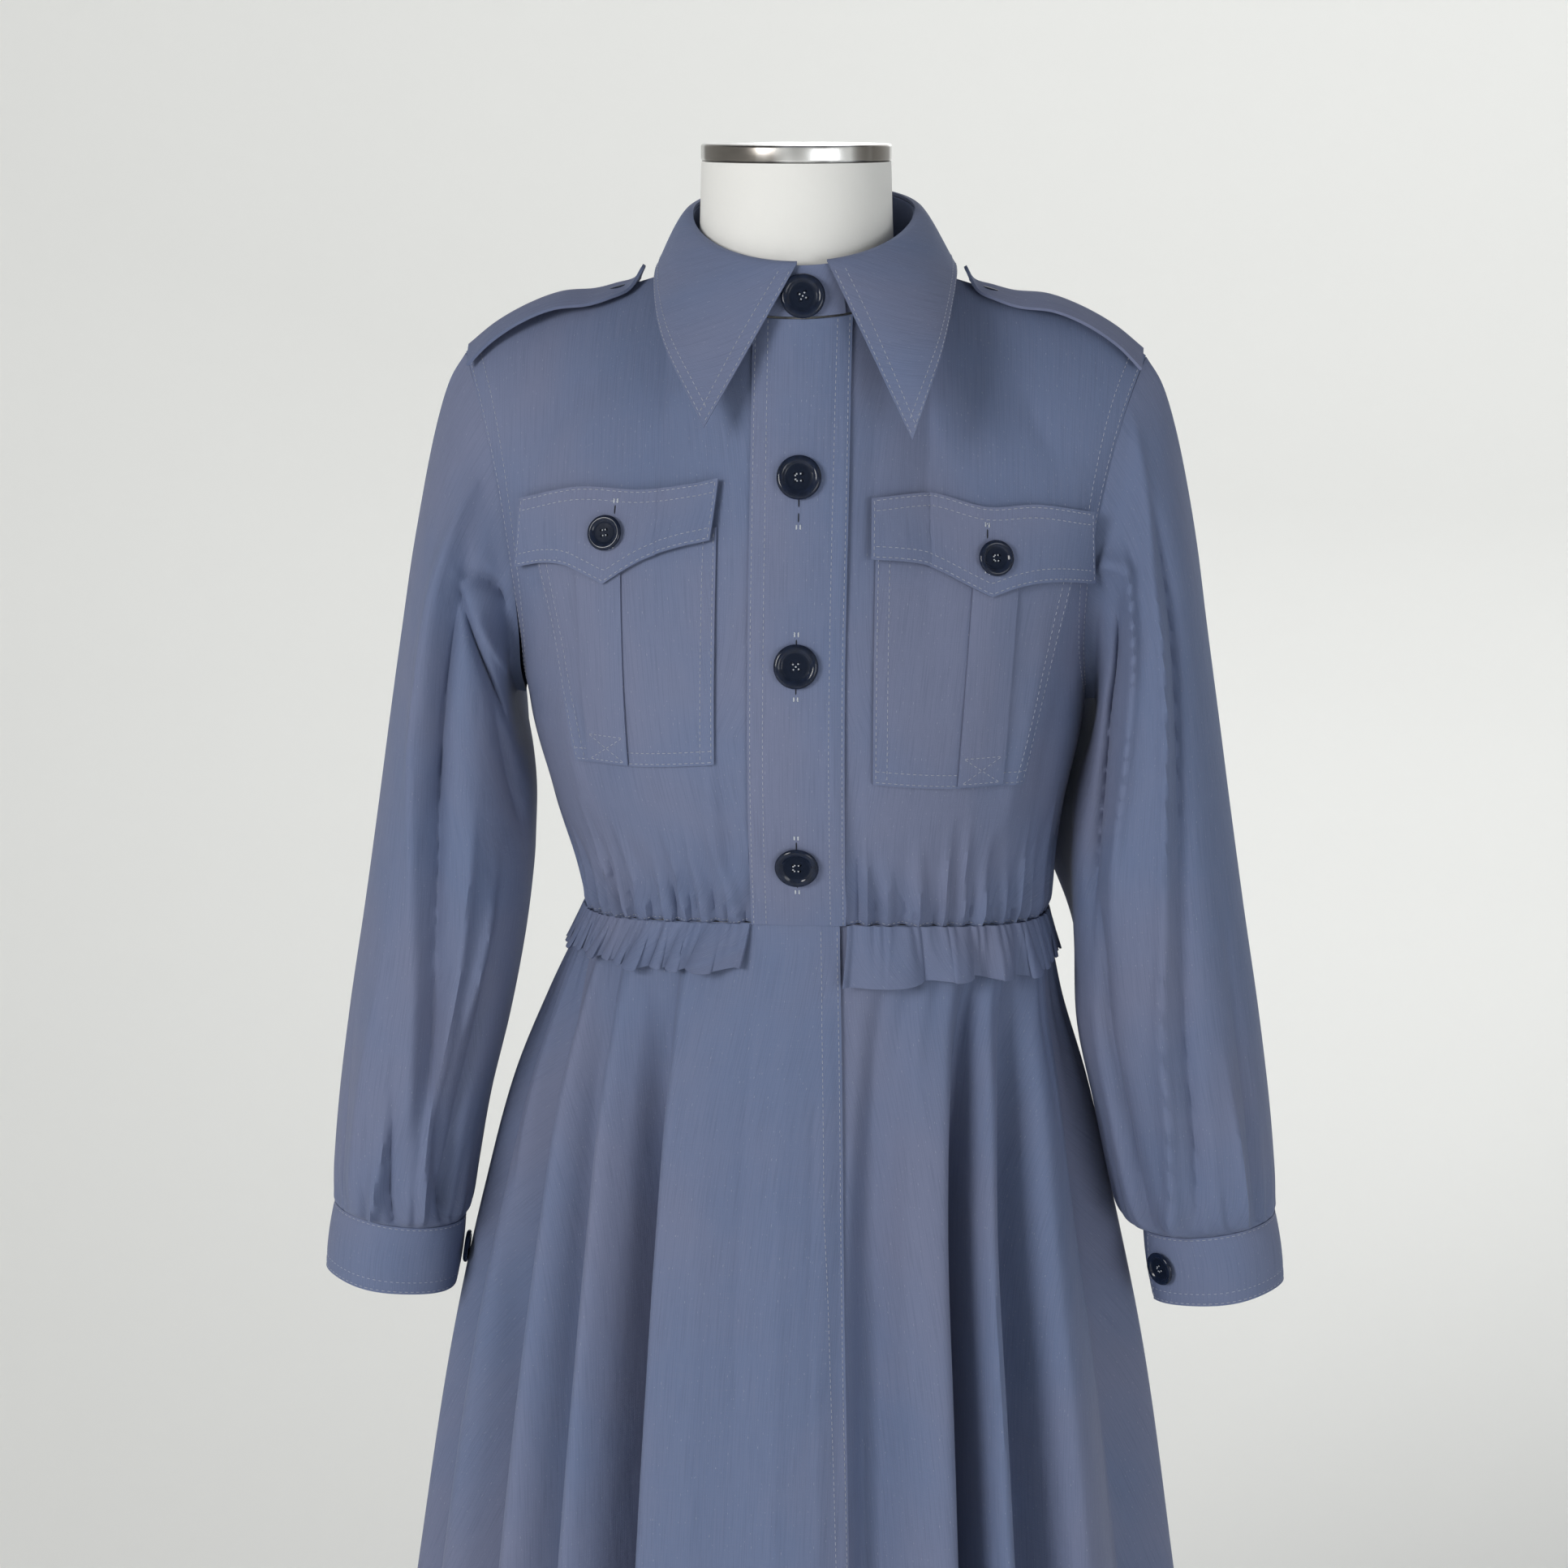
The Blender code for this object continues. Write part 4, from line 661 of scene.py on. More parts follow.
def stitches(name, rows, wall=WALL, length=STITCH, radius=STITCH_RADIUS, thread=SEWING_THREAD):
    """Rows of stitches, each laid on the outer face of its cloth: a thread with four sides, whose two
    ends dip into the cloth."""
    verts, faces = [], []
    for points, out in rows:
        run = run_along(points)
        count = int(run[-1] / (length + STITCH_GAP))
        if count < 1:
            continue
        starts = (np.arange(count) + 0.5) * run[-1] / count - length / 2
        face = points + out * (wall / 2 - STITCH_SUNK)

        def read(values, at):
            return np.stack([np.interp(at, run, values[:, k]) for k in range(3)], -1)

        ends = [read(face, starts), read(face, starts + length)]
        up = unit(read(out, starts + length / 2))
        ahead = unit(ends[1] - ends[0])
        side = unit(np.cross(ahead, up))
        first = len(verts)
        rings = [ends[0] - up * radius]
        for share in (0.25, 0.75):
            centre = ends[0] + (ends[1] - ends[0]) * share + up * radius * 0.6
            for a, b in ((1, 0), (0, 1), (-1, 0), (0, -1)):
                rings.append(centre + (side * a + up * b) * radius)
        rings.append(ends[1] - up * radius)
        verts.extend(np.stack(rings, 1).reshape(-1, 3))
        for i in range(count):
            s = first + i * 10
            for k in range(4):
                n = (k + 1) % 4
                faces.append((s, s + 1 + n, s + 1 + k))
                faces.append((s + 1 + k, s + 1 + n, s + 5 + n, s + 5 + k))
                faces.append((s + 9, s + 5 + k, s + 5 + n))
    piece, mesh = meshed(name, [tuple(v) for v in verts], [], faces)
    mesh.shade_smooth()
    mesh.materials.append(thread)
    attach(piece, "root")


NEAR_ROW = 0.0016
FAR_ROW = 0.0088
ARMHOLE_ROWS = ((NEAR_ROW, 0.42), (FAR_ROW, 0.41))
for label, place, edge in (("right", right_place, "left"), ("left", left_place, "right")):
    rows = [rim(place, edge, inset, first, 0.985) for inset, first in ARMHOLE_ROWS]
    stitches(f"armhole_stitches_{label}", rows)


# Button band
# A doubled strip on the right front's edge, stitched down both sides, with the buttonholes in it. It
# lies over the left front.

DOUBLED_WALL = 0.0016
BAND_TOP_DROP = 0.0025
BAND_WAVES = table(
    "x0 z0 x1 z1 wide out",
    (0.0290, 1.330, 0.0280, 1.210, 0.004, 0.0012),
    (-0.0120, 1.250, -0.0180, 1.200, 0.006, 0.0007),
    (0.0230, 1.170, 0.0260, 1.100, 0.005, 0.0010),
    (0.0040, 1.160, 0.0000, 1.100, 0.008, -0.0006),
)


def band_place(u, v):
    """The band, from the right front's side to its free edge, a layer out from the fronts."""
    height = WAIST + GAP / 2 + (SHOULDER - WAIST - GAP - BAND_TOP_DROP) * v
    share = BAND_RIGHT(height) + (BAND_LEFT(height) - BAND_RIGHT(height)) * u
    point, out = skin("front", share, height, False)
    edge = np.minimum(u, 1 - u) * 2 * BAND_HALF
    lift = LAYER + drawn(BAND_WAVES, point[:, 0], point[:, 2])
    lift = lift - 0.00022 * grooves(edge, (NEAR_ROW, FAR_ROW))
    return point + out * lift[:, None]


band = sheet("button_band_cloth", band_place, (42, 150), DOUBLED_WALL)
worn(band, "button_band", rests_on="front_left")
rows = rims(band_place, ("left", "right"), (NEAR_ROW, FAR_ROW), steps=240)
stitches("band_stitches", rows, DOUBLED_WALL)


# Skirt
# Two front panels and a back panel, cut wide at the hem and sewn on at the waist. They hang in deep
# folds, and the right front laps over the left, with its hemmed and stitched edge running down it.

HEM = 0.300
LAP = LAYER / 2
UNDER_LAP = 1.5 * LAP
SKIRT = table(
    "height half_width front_depth back_depth",
    (1.020, 0.1360, -0.100, 0.085),
    (0.964, 0.1520, -0.115, 0.103),
    (0.921, 0.1655, -0.126, 0.119),
    (0.839, 0.1835, -0.147, 0.144),
    (0.753, 0.2005, -0.165, 0.167),
    (0.600, 0.2240, -0.192, 0.196),
    (0.300, 0.2660, -0.238, 0.244),
)

# Folds, all round from the right side seam: the angle of each crest or valley halfway down, how far
# it stands out at the hem, and how far it leans to the wearer's left there, both in millimetres.
FOLDS = table(
    "angle out lean",
    (-52, -20, 0), (-44.5, 14, -5), (-37.5, -15, 0), (-32, 14, -6), (-23.5, -41, 0), (-17, 12, -13),
    (-5, 5, 0), (5, 5, 0), (10.5, -2, 0), (14.8, -21, 0), (26, 15, 3), (32.5, -43, 0), (38, 15, -7),
    (44.5, -32, 0), (54, 17, -9), (73, -12, 0), (86, 14, 4), (97, -20, 0), (109, 16, -7),
    (121, -26, 0), (132, 15, 7), (144, -22, 0), (157, 17, 8), (169, -24, 0), (180, 14, 0),
    (192, -23, 0), (204, 17, -8), (215, -27, 0), (227, 15, 6), (238, -20, 0), (250, 16, -7),
    (262, -22, 0), (274, 13, 5), (286, -14, 0), (298, 13, -4), (308, -20, 0),
)
SIDE_SEAMS = {"right": -52, "left": 73}
SKIRT_HEM_ROW = 0.011

# The share of the way down by which most of a fold has opened, at the front and at the back. At the
# waist the folds stand nearer to the sides than halfway down, by up to half of the spread in degrees.
FOLD_GROWTH = (0.19, 0.22)
FOLD_SPREAD = 36
FOLD_SPREAD_REACH = 0.15

# Soft creases between the folds, by angle in tens of degrees and share of the way down.
SKIRT_CREASES = table(
    "x0 z0 x1 z1 wide out",
    (-1.20, 0.10, -1.10, 0.60, 0.18, 0.0020), (-0.62, 0.06, -0.70, 0.45, 0.16, -0.0022),
    (-0.05, 0.12, -0.02, 0.70, 0.22, 0.0022), (0.45, 0.10, 0.55, 0.50, 0.16, -0.0018),
    (2.10, 0.06, 2.05, 0.40, 0.14, 0.0024), (2.85, 0.05, 2.80, 0.35, 0.13, -0.0024),
    (4.90, 0.05, 5.00, 0.45, 0.16, 0.0022), (-2.80, 0.05, -2.75, 0.35, 0.14, 0.0024),
    (-3.90, 0.05, -4.00, 0.40, 0.16, -0.0020), (6.20, 0.10, 6.30, 0.60, 0.25, 0.0025),
    (29.30, 0.06, 29.90, 0.26, 0.10, -0.0050), (29.80, 0.20, 30.70, 0.46, 0.10, -0.0050),
    (-5.08, 0.40, -5.12, 0.90, 0.10, -0.0035),
)


def fold_value(name, angle):
    """A column of the fold table at an angle, in cosine steps from one crest or valley to the next."""
    start = FOLDS["angle"][0]
    angle = (np.asarray(angle, float) - start) % 360 + start
    angles = FOLDS["angle"]
    i = np.clip(np.searchsorted(angles, angle, side="right") - 1, 0, len(angles) - 2)
    first, last = angles[i], angles[i + 1]
    mix = (1 - np.cos(math.pi * (angle - first) / (last - first))) / 2
    return (FOLDS[name][i] * (1 - mix) + FOLDS[name][i + 1] * mix) / 1000


def turned_angle(angle, drop):
    """The angle at which a fold of the given angle really stands at a share of the way down."""
    spread = FOLD_SPREAD * (np.exp(-drop / FOLD_SPREAD_REACH) - math.exp(-0.5 / FOLD_SPREAD_REACH))
    return angle + spread * np.sin(2 * np.radians(angle)) / 2


def fold_angle(turned, drop):
    """The angle of the fold that stands at the given angle: the inverse of turned_angle."""
    angle = np.asarray(turned, float)
    for _ in range(30):
        angle = angle - (turned_angle(angle, drop) - turned) * 0.6
    return angle


def skirt(angle, drop, creased=True):
    """A point on the middle of the skirt's cloth, for a fold angle in degrees and a share of the way
    from the waist seam to the hem."""
    angle, drop = np.broadcast_arrays(np.asarray(angle, float), np.asarray(drop, float))
    turn = np.radians(turned_angle(angle, drop))
    front = np.cos(turn) > 0
    share = np.abs(np.arcsin(np.clip(np.sin(turn), -1, 1))) / (math.pi / 2)
    level = WAIST + (HEM - WAIST) * drop
    half = along(SKIRT, "height", "half_width", level)
    depths = [np.abs(along(SKIRT, "height", side + "_depth", level)) for side in ("front", "back")]
    depth = np.where(front, *depths)
    lifted = np.where(front, waist_rise("front", share), waist_rise("back", share))
    x = half * np.sin(turn) + along(SWAY, "height", "x", level)
    point = np.stack([x, -depth * np.cos(turn), level + lifted * (1 - drop)], -1)
    out = unit(np.stack([np.sin(turn) / half, -np.cos(turn) / depth, np.zeros_like(x)], -1))
    aside = np.stack([-out[..., 1], out[..., 0], np.zeros_like(x)], -1)
    slow = np.interp(np.cos(turn), (-0.6, 0.9), FOLD_GROWTH[::-1])
    grown = (1 - np.exp(-((drop / slow) ** 1.3))) / (1 - np.exp(-(slow**-1.3)))
    reach = fold_value("out", angle) * grown
    if creased:
        reach = reach + drawn(SKIRT_CREASES, angle / 10, drop)
        small = np.sin(angle * 0.95 + 1.2 * np.sin(angle * 0.31)) * np.exp(-((drop / 0.14) ** 2))
        reach = reach + 0.0012 * small * rise(drop / 0.05) * (np.abs(angle) > 14)
    lean = fold_value("lean", angle) * grown
    return point + out * reach[..., None] + aside * lean[..., None]


def skirt_place(angles_at, layer_at=None):
    """The place function of a skirt panel. angles_at gives the angle at a share across and down, and
    layer_at how far that is moved out or in where the fronts overlap."""

    def place(u, v):
        drop = 1 - v
        angle = angles_at(u, drop)
        point = skirt(angle, drop)
        point[:, 2] -= GAP / 2 * (drop < 1e-6)
        if layer_at is None:
            return point
        turn, fall = 0.5, 0.003
        wide = skirt(angle + turn, drop) - skirt(angle - turn, drop)
        down = skirt(angle, np.minimum(drop + fall, 1)) - skirt(angle, np.maximum(drop - fall, 0))
        return point + unit(np.cross(down, wide)) * layer_at(u, drop, point)[:, None]

    return place


DROPS = np.linspace(0, 1, 60)


def front_edge(at_waist, at_hem):
    """The fold angle of a straight edge down the skirt's front, for each share of the way down."""
    height = WAIST + (HEM - WAIST) * DROPS
    x = FRONT_X + at_waist + (at_hem - at_waist) * DROPS
    half = along(SKIRT, "height", "half_width", height)
    turned = np.degrees(np.arcsin((x - along(SWAY, "height", "x", height)) / half))
    angles = fold_angle(turned, DROPS)
    return lambda drop: np.interp(drop, DROPS, angles)


OVER_EDGE = front_edge(0.0235, 0.0445)
UNDER_EDGE = front_edge(-0.030, -0.030)


def right_angles(u, drop):
    """Fold angles across the right front, from its side seam to its free edge."""
    return SIDE_SEAMS["right"] + (OVER_EDGE(drop) - SIDE_SEAMS["right"]) * u


def left_angles(u, drop):
    """Fold angles across the left front, from its edge under the right one to its side seam."""
    return UNDER_EDGE(drop) + (SIDE_SEAMS["left"] - UNDER_EDGE(drop)) * u


def over_layer(u, drop, point):
    """The right front is a layer out where it laps, and its hemmed edge is a little thicker."""
    angle = right_angles(u, drop)
    lapped = rise((angle - UNDER_EDGE(drop) + 5) / 5)
    radius = np.hypot(point[:, 0], point[:, 1]) / 57.3
    inset = (1 - u) * (OVER_EDGE(drop) - SIDE_SEAMS["right"]) * radius
    return LAP * lapped - 0.0003 * grooves(inset, (NEAR_ROW, SKIRT_HEM_ROW), 0.0016)


def under_layer(u, drop, point):
    """The left front is a layer in where it laps."""
    return -UNDER_LAP * rise((OVER_EDGE(drop) + 5 - left_angles(u, drop)) / 5)


def back_angles(u, drop):
    """Fold angles across the back, from the left side seam to the right one."""
    return SIDE_SEAMS["left"] + (SIDE_SEAMS["right"] + 360 - SIDE_SEAMS["left"]) * u + 0 * drop


over_place = skirt_place(right_angles, over_layer)
skirt_right = sheet("skirt_front_right_cloth", over_place, (112, 160))
worn(skirt_right, "skirt_front_right", held="hung", rests_on="front_right")
skirt_left = sheet("skirt_front_left_cloth", skirt_place(left_angles, under_layer), (120, 160))
worn(skirt_left, "skirt_front_left", held="hung", rests_on="front_left")
skirt_back = sheet("skirt_back_cloth", skirt_place(back_angles), (230, 120))
worn(skirt_back, "skirt_back", held="hung", rests_on="back")
rows = rims(over_place, ("right",), (NEAR_ROW, SKIRT_HEM_ROW), 0.0, 0.995, 300)
stitches("skirt_edge_stitches", rows)


# Waist frill
# A narrow doubled strip in three pieces, gathered into the waist seam below the thread row, so that
# it stands out over the skirt in crushed folds. The two front pieces stop at the band.

# Where each fold of a front piece turns under, as a share of the piece from the band outwards.
FRILL_FOLDS = {
    "left": (0.0, 0.235, 0.40, 0.60, 0.70, 0.78, 0.845, 0.90, 0.95, 1.0),
    "right": (0.0, 0.16, 0.24, 0.31, 0.39, 0.45, 0.53, 0.59, 0.67, 0.73, 0.81, 0.87, 0.94, 1.0),
}
FRILL_DROP = {"left": 0.0310, "right": 0.0245, "back": 0.0290}
FRILL_STAND = 0.0018
WAIST_STITCH = 0.0024


def frill_wave(place, folds):
    """How far the frill stands out along its length, from 0 to 1: each fold swells slowly and then
    turns under. Also how far it is drawn sideways there."""
    folds = np.asarray(folds, float)
    i = np.clip(np.searchsorted(folds, place, side="right") - 1, 0, len(folds) - 2)
    run = (place - folds[i]) / (folds[i + 1] - folds[i])
    swell = rise(run / 0.72) * (1 - rise((run - 0.72) / 0.28))
    height = 0.75 + 0.25 * np.sin(i * 2.3 + 0.7)
    return swell * height, -np.sin(2 * math.pi * np.clip((run - 0.5) / 0.5, 0, 1)) * height


def frill_place(label, first, last, outwards):
    """The place function of a piece of the frill between two angles at the waist. Its folds run
    outwards from its first end, or from its last."""

    def place(u, v):
        down = 1 - v
        angle = first + (last - first) * u
        at = u if outwards else 1 - u
        swell, draw = frill_wave(at, FRILL_FOLDS[label])
        ripple = 0.0007 * np.sin(angle * 1.9 + 1.5 * np.sin(angle * 0.7)) * (1 - down)
        turn = np.radians(angle)
        short = 1 + 0.06 * np.sin(angle * 0.13) - 0.20 * (1 - np.abs(np.cos(turn)))
        drop = FRILL_DROP[label] * down * short / (WAIST - HEM)
        out = unit(np.stack([np.sin(turn), -1.3 * np.cos(turn), 0 * turn], -1))
        aside = np.stack([-out[:, 1], out[:, 0], 0 * turn], -1)
        ends = rise(np.minimum(u, 1 - u) / 0.02)
        faced = np.abs(np.cos(turn))
        crushed = (0.0016 + 0.0088 * down) * (0.4 + 0.6 * faced) * (swell - 0.30) * ends
        stand = LAYER + FRILL_STAND + (0.0012 + 0.0040 * faced) * down + crushed + ripple
        point = skirt(fold_angle(angle, drop), drop, False) + out * stand[:, None]
        point = point + aside * (0.0040 * down * draw * ends * (1 if outwards else -1))[:, None]
        point[:, 2] -= GAP / 2 * (down < 1e-6) + 0.0016 * down * swell * rise(down)
        return point

    return place


def waist_angle(x):
    """The angle at which the waist seam's front has the given x."""
    middle = along(SWAY, "height", "x", WAIST)
    return math.degrees(math.asin((x - middle) / SKIRT["half_width"][0]))


COUNT = np.arange(24)
BACK_FOLDS = np.cumsum(np.r_[0, 1 + 0.35 * np.sin(COUNT * 1.7) + 0.2 * np.sin(COUNT * 4.1)])
FRILL_FOLDS["back"] = BACK_FOLDS / BACK_FOLDS[-1]
BAND_ANGLES = [waist_angle(FRONT_X + side * (BAND_HALF + GAP)) for side in (-1, 1)]
FRILLS = {
    "right": (-90, BAND_ANGLES[0], False, 190, "front_right"),
    "left": (BAND_ANGLES[1], 90, True, 190, "front_left"),
    "back": (90, 270, True, 340, "back"),
}
for label, (first, last, outwards, cells, above) in FRILLS.items():
    place = frill_place(label, first, last, outwards)
    piece = sheet(f"frill_{label}_cloth", place, (cells, 18))
    worn(piece, f"frill_{label}", held="gathered", rests_on=above)

rows = []
for place, steps in ((right_place, 200), (left_place, 200), (back_place, 260)):
    rows.append(rim(place, "bottom", NEAR_ROW, 0.01, 0.99, steps))
stitches("waist_stitches", rows, length=WAIST_STITCH)


# Sleeves
# Each is one piece sewn into a tube and set into the armhole. It hangs from the shoulder in long soft
# folds, breaks at the inside of the elbow, and is pleated into the cuff.

SLEEVE = table(
    "outer_x outer_z inner_x_right inner_x_left inner_z half_depth centre_y",
    (0.1980, 1.350, 0.1645, 0.1645, 1.148, 0.050, 0.000),
    (0.2075, 1.334, 0.1710, 0.1720, 1.148, 0.050, 0.000),
    (0.2155, 1.310, 0.1710, 0.1730, 1.136, 0.056, 0.000),
    (0.2230, 1.278, 0.1680, 0.1700, 1.120, 0.062, -0.001),
    (0.2305, 1.238, 0.1640, 0.1665, 1.106, 0.066, -0.002),
    (0.2375, 1.190, 0.1620, 0.1635, 1.088, 0.067, -0.004),
    (0.2455, 1.138, 0.1622, 0.1620, 1.066, 0.067, -0.007),
    (0.2540, 1.082, 0.1640, 0.1620, 1.038, 0.066, -0.009),
    (0.2635, 1.022, 0.1695, 0.1645, 0.998, 0.064, -0.011),
    (0.2735, 0.962, 0.1790, 0.1670, 0.950, 0.062, -0.014),
    (0.2815, 0.906, 0.1915, 0.1780, 0.900, 0.060, -0.016),
    (0.2857, 0.862, 0.2000, 0.1880, 0.856, 0.055, -0.018),
    (0.2865, 0.840, 0.2045, 0.1955, 0.832, 0.046, -0.019),
)
ARMHOLE_BLEND = (1.0, 1.0, 0.7, 0.4, 0.15)
CUFF_CENTRE = (0.2480, -0.020, 0.8270)
CUFF_HALF_WIDE = 0.0395
CUFF_HALF_DEEP = 0.0350
CUFF_HEIGHT = 0.044
CUFF_LEAN = math.radians(8)
CUFF_CLOSING = {"right": 183, "left": 138}
CUFF_RAISED = {"right": 0.0, "left": 0.006}
SIDES = {"right": -1, "left": 1}

# Folds of the sleeves, by turn in tens of degrees from the outer edge towards the front, and by ring
# from the armhole to the cuff: a start and an end, a width in tens of degrees and a height.
SLEEVE_FOLDS = {
    "right": table(
        "x0 z0 x1 z1 wide out",
        (5.6, 1.0, 6.6, 5.8, 0.9, 0.0070), (7.6, 2.8, 7.9, 6.6, 1.2, -0.0160),
        (7.7, 5.6, 9.5, 8.3, 1.2, -0.0150), (9.1, 7.7, 11.8, 10.3, 1.0, -0.0130),
        (11.4, 9.7, 14.8, 12.3, 0.8, -0.0100), (5.6, 3.0, 6.0, 6.4, 0.6, 0.0055),
        (5.8, 5.6, 8.0, 8.3, 0.6, 0.0055), (7.7, 7.7, 10.2, 10.2, 0.6, 0.0055),
        (13.4, 7.2, 12.5, 9.0, 0.6, 0.0080), (8.2, 9.6, 9.4, 12.7, 0.6, -0.0090),
        (11.2, 6.4, 11.8, 12.4, 0.7, 0.0100), (8.3, 9.8, 7.4, 13.0, 0.5, 0.0070),
        (7.4, 2.7, 12.0, 0.7, 0.22, -0.0090), (7.4, 3.0, 14.0, 3.1, 0.26, -0.0110),
        (9.6, 2.7, 14.6, 1.6, 0.40, 0.0090), (12.4, 3.6, 16.0, 5.8, 0.7, -0.0100),
        (5.8, 8.5, 5.4, 12.9, 0.9, 0.0050), (3.6, 9.5, 3.6, 13.0, 0.7, -0.0045),
        (13.8, 7.0, 13.8, 12.6, 0.8, -0.0080), (-3.0, 1.5, -5.6, 8.0, 1.1, 0.0070),
        (-5.4, 2.5, -8.0, 7.0, 0.8, -0.0090), (-8.0, 6.0, -8.4, 12.6, 0.9, -0.0100),
        (-11.5, 3.0, -11.0, 12.0, 1.1, 0.0080), (-14.5, 3.0, -15.5, 7.0, 0.9, -0.0070),
        (-9.0, 3.2, -14.0, 2.4, 0.3, -0.0080), (-5.0, 9.0, -5.2, 13.0, 0.7, 0.0060),
    ),
    "left": table(
        "x0 z0 x1 z1 wide out",
        (3.0, 0.4, 6.7, 3.2, 0.6, 0.0055), (6.5, 2.8, 8.8, 7.8, 0.6, 0.0080),
        (8.7, 7.2, 11.0, 11.8, 0.6, 0.0080), (11.0, 11.0, 11.2, 13.0, 0.5, 0.0070),
        (4.8, 2.2, 7.4, 7.8, 0.7, -0.0080), (7.3, 7.2, 9.4, 12.2, 0.7, -0.0080),
        (10.4, 0.3, 7.9, 2.2, 0.45, 0.0095), (8.0, 1.8, 9.7, 3.9, 0.5, 0.0090),
        (9.5, 3.4, 12.4, 7.4, 0.7, 0.0090), (9.8, 2.2, 12.6, 3.6, 0.5, -0.0110),
        (12.2, 3.2, 14.6, 7.4, 0.7, -0.0140), (13.6, 7.0, 13.0, 12.6, 0.8, -0.0090),
        (5.7, 9.6, 5.5, 13.0, 0.5, 0.0070), (4.2, 8.0, 4.4, 13.0, 0.8, -0.0050),
        (14.4, 9.0, 13.8, 13.0, 0.7, 0.0050), (-3.4, 1.5, -6.0, 8.0, 1.1, 0.0070),
        (-5.8, 2.5, -8.0, 7.0, 0.8, -0.0090), (-8.0, 6.0, -8.0, 12.6, 0.9, -0.0100),
        (-11.0, 3.4, -11.6, 12.0, 1.1, 0.0080), (-9.0, 3.0, -14.0, 2.2, 0.3, -0.0080),
        (-4.8, 9.5, -4.8, 13.0, 0.7, 0.0060),
    ),
}

# How far the left sleeve's cloth swings in behind the body, by ring, and how much of that its inner
# back edge gets, where the two shares of the turn below meet.
BEHIND = (0, 0, 0.004, 0.012, 0.024, 0.033, 0.037, 0.034, 0.018, 0.005, 0, 0, 0)
BEHIND_GROWTH = 3.1
CUFF_RING = len(SLEEVE["outer_x"])


def cuff_point(turn, drop, out=0.0):
    """A point of a cuff's oval for the wearer's left arm. Turn 0 is the outer side, and it grows
    towards the front; drop runs down the cuff, and out is away from the oval."""
    side = (CUFF_HALF_WIDE + out) * np.cos(turn)
    deep = (CUFF_HALF_DEEP + out) * np.sin(turn)
    down = drop * CUFF_HEIGHT
    x = CUFF_CENTRE[0] + side * math.cos(CUFF_LEAN) + down * math.sin(CUFF_LEAN)
    z = CUFF_CENTRE[2] + side * math.sin(CUFF_LEAN) - down * math.cos(CUFF_LEAN)
    return np.stack([x, CUFF_CENTRE[1] - deep, z], -1)


def through(keys, at):
    """Points on smooth lines through rows of key points, at a row position for each point of the last
    key row's columns."""
    slope = np.gradient(keys, axis=0)
    i = np.clip(at.astype(int), 0, len(keys) - 2)
    t = (at - i)[..., None]
    column = np.arange(keys.shape[1])
    ends = keys[i, column], keys[i + 1, column]
    return smooth_step(t, *ends, slope[i, column], slope[i + 1, column])


def armhole_turn():
    """Heights up the front of the armhole and down its back, at even steps, with their turns round the
    sleeve: half a turn at the underarm, where both ends are, and none at the shoulder."""
    heights = np.linspace(UNDERARM, SHOULDER, 300)
    runs = {}
    for face in ("front", "back"):
        run = run_along(bodice(face, np.ones(300), heights))
        runs[face] = run / run[-1]
    return heights, runs


ARM_HEIGHTS, ARM_RUNS = armhole_turn()


def sleeve_keys(label, turn):
    """The sleeve's key rings at the given turns, from the armhole to the top of the cuff."""
    around = 1 - np.abs(turn) / math.pi
    edges = []
    for face in ("front", "back"):
        height = np.interp(around, ARM_RUNS[face], ARM_HEIGHTS)
        edges.append(bodice(face, np.ones_like(height), height))
    edge = np.where((turn >= 0)[:, None], *edges)

    def oval(ring):
        outer = np.array([SLEEVE["outer_x"][ring], 0, SLEEVE["outer_z"][ring]])
        inner = np.array([SLEEVE["inner_x_" + label][ring], 0, SLEEVE["inner_z"][ring]])
        made = (outer + inner) / 2 + (outer - inner) / 2 * np.cos(turn)[:, None]
        made[:, 1] += SLEEVE["centre_y"][ring] - SLEEVE["half_depth"][ring] * np.sin(turn)
        return made

    keys = [edge + unit(oval(0).mean(0) - edge) * np.array([0.2, 1, 1]) * GAP * 2]
    for ring in range(1, CUFF_RING):
        keep = ARMHOLE_BLEND[ring] if ring < len(ARMHOLE_BLEND) else 0
        spot = oval(ring) + keep * (edge - oval(0))
        if label == "left":
            inner, rear = np.clip(-np.cos(turn), 0, 1), np.clip(-np.sin(turn), 0, 1)
            spot[:, 0] -= BEHIND_GROWTH * BEHIND[ring] * inner * rear**3
        keys.append(spot)
    keys.append(cuff_point(turn, -GAP / CUFF_HEIGHT))
    keys = np.array(keys)
    keys[..., 2] += CUFF_RAISED[label] * (np.linspace(0, 1, len(keys)) ** 2)[:, None]
    return keys


def sleeve_place(label):
    """The place function of a sleeve. Its seam is under the arm."""
    sign = SIDES[label]

    def place(u, v):
        turn = math.pi * (1 - 2 * u) * -sign
        ring = CUFF_RING * (1 - v)
        keys = sleeve_keys(label, turn)
        point = through(keys, ring)
        middle = through(np.repeat(keys.mean(1, keepdims=True), len(turn), 1), ring)
        out = unit((point - middle) * np.array([1, 1, 0.4]))
        tens = np.degrees(turn) / 10
        folds = SLEEVE_FOLDS[label]
        lift = sum(drawn(folds, tens + shift, ring) for shift in (-36, 0, 36))
        calm = rise(ring / 1.2) * (1 - 0.75 * rise((ring - 12.2) / 0.8))
        pleats = 0.0012 * np.sin(tens * 4.4 + np.sin(tens * 1.7)) * rise((ring - 9.5) / 3)
        pleats = pleats * (ring < CUFF_RING - 0.03)
        point = point + out * ((lift + pleats) * calm)[:, None]
        return point * np.array([sign, 1, 1])

    return place


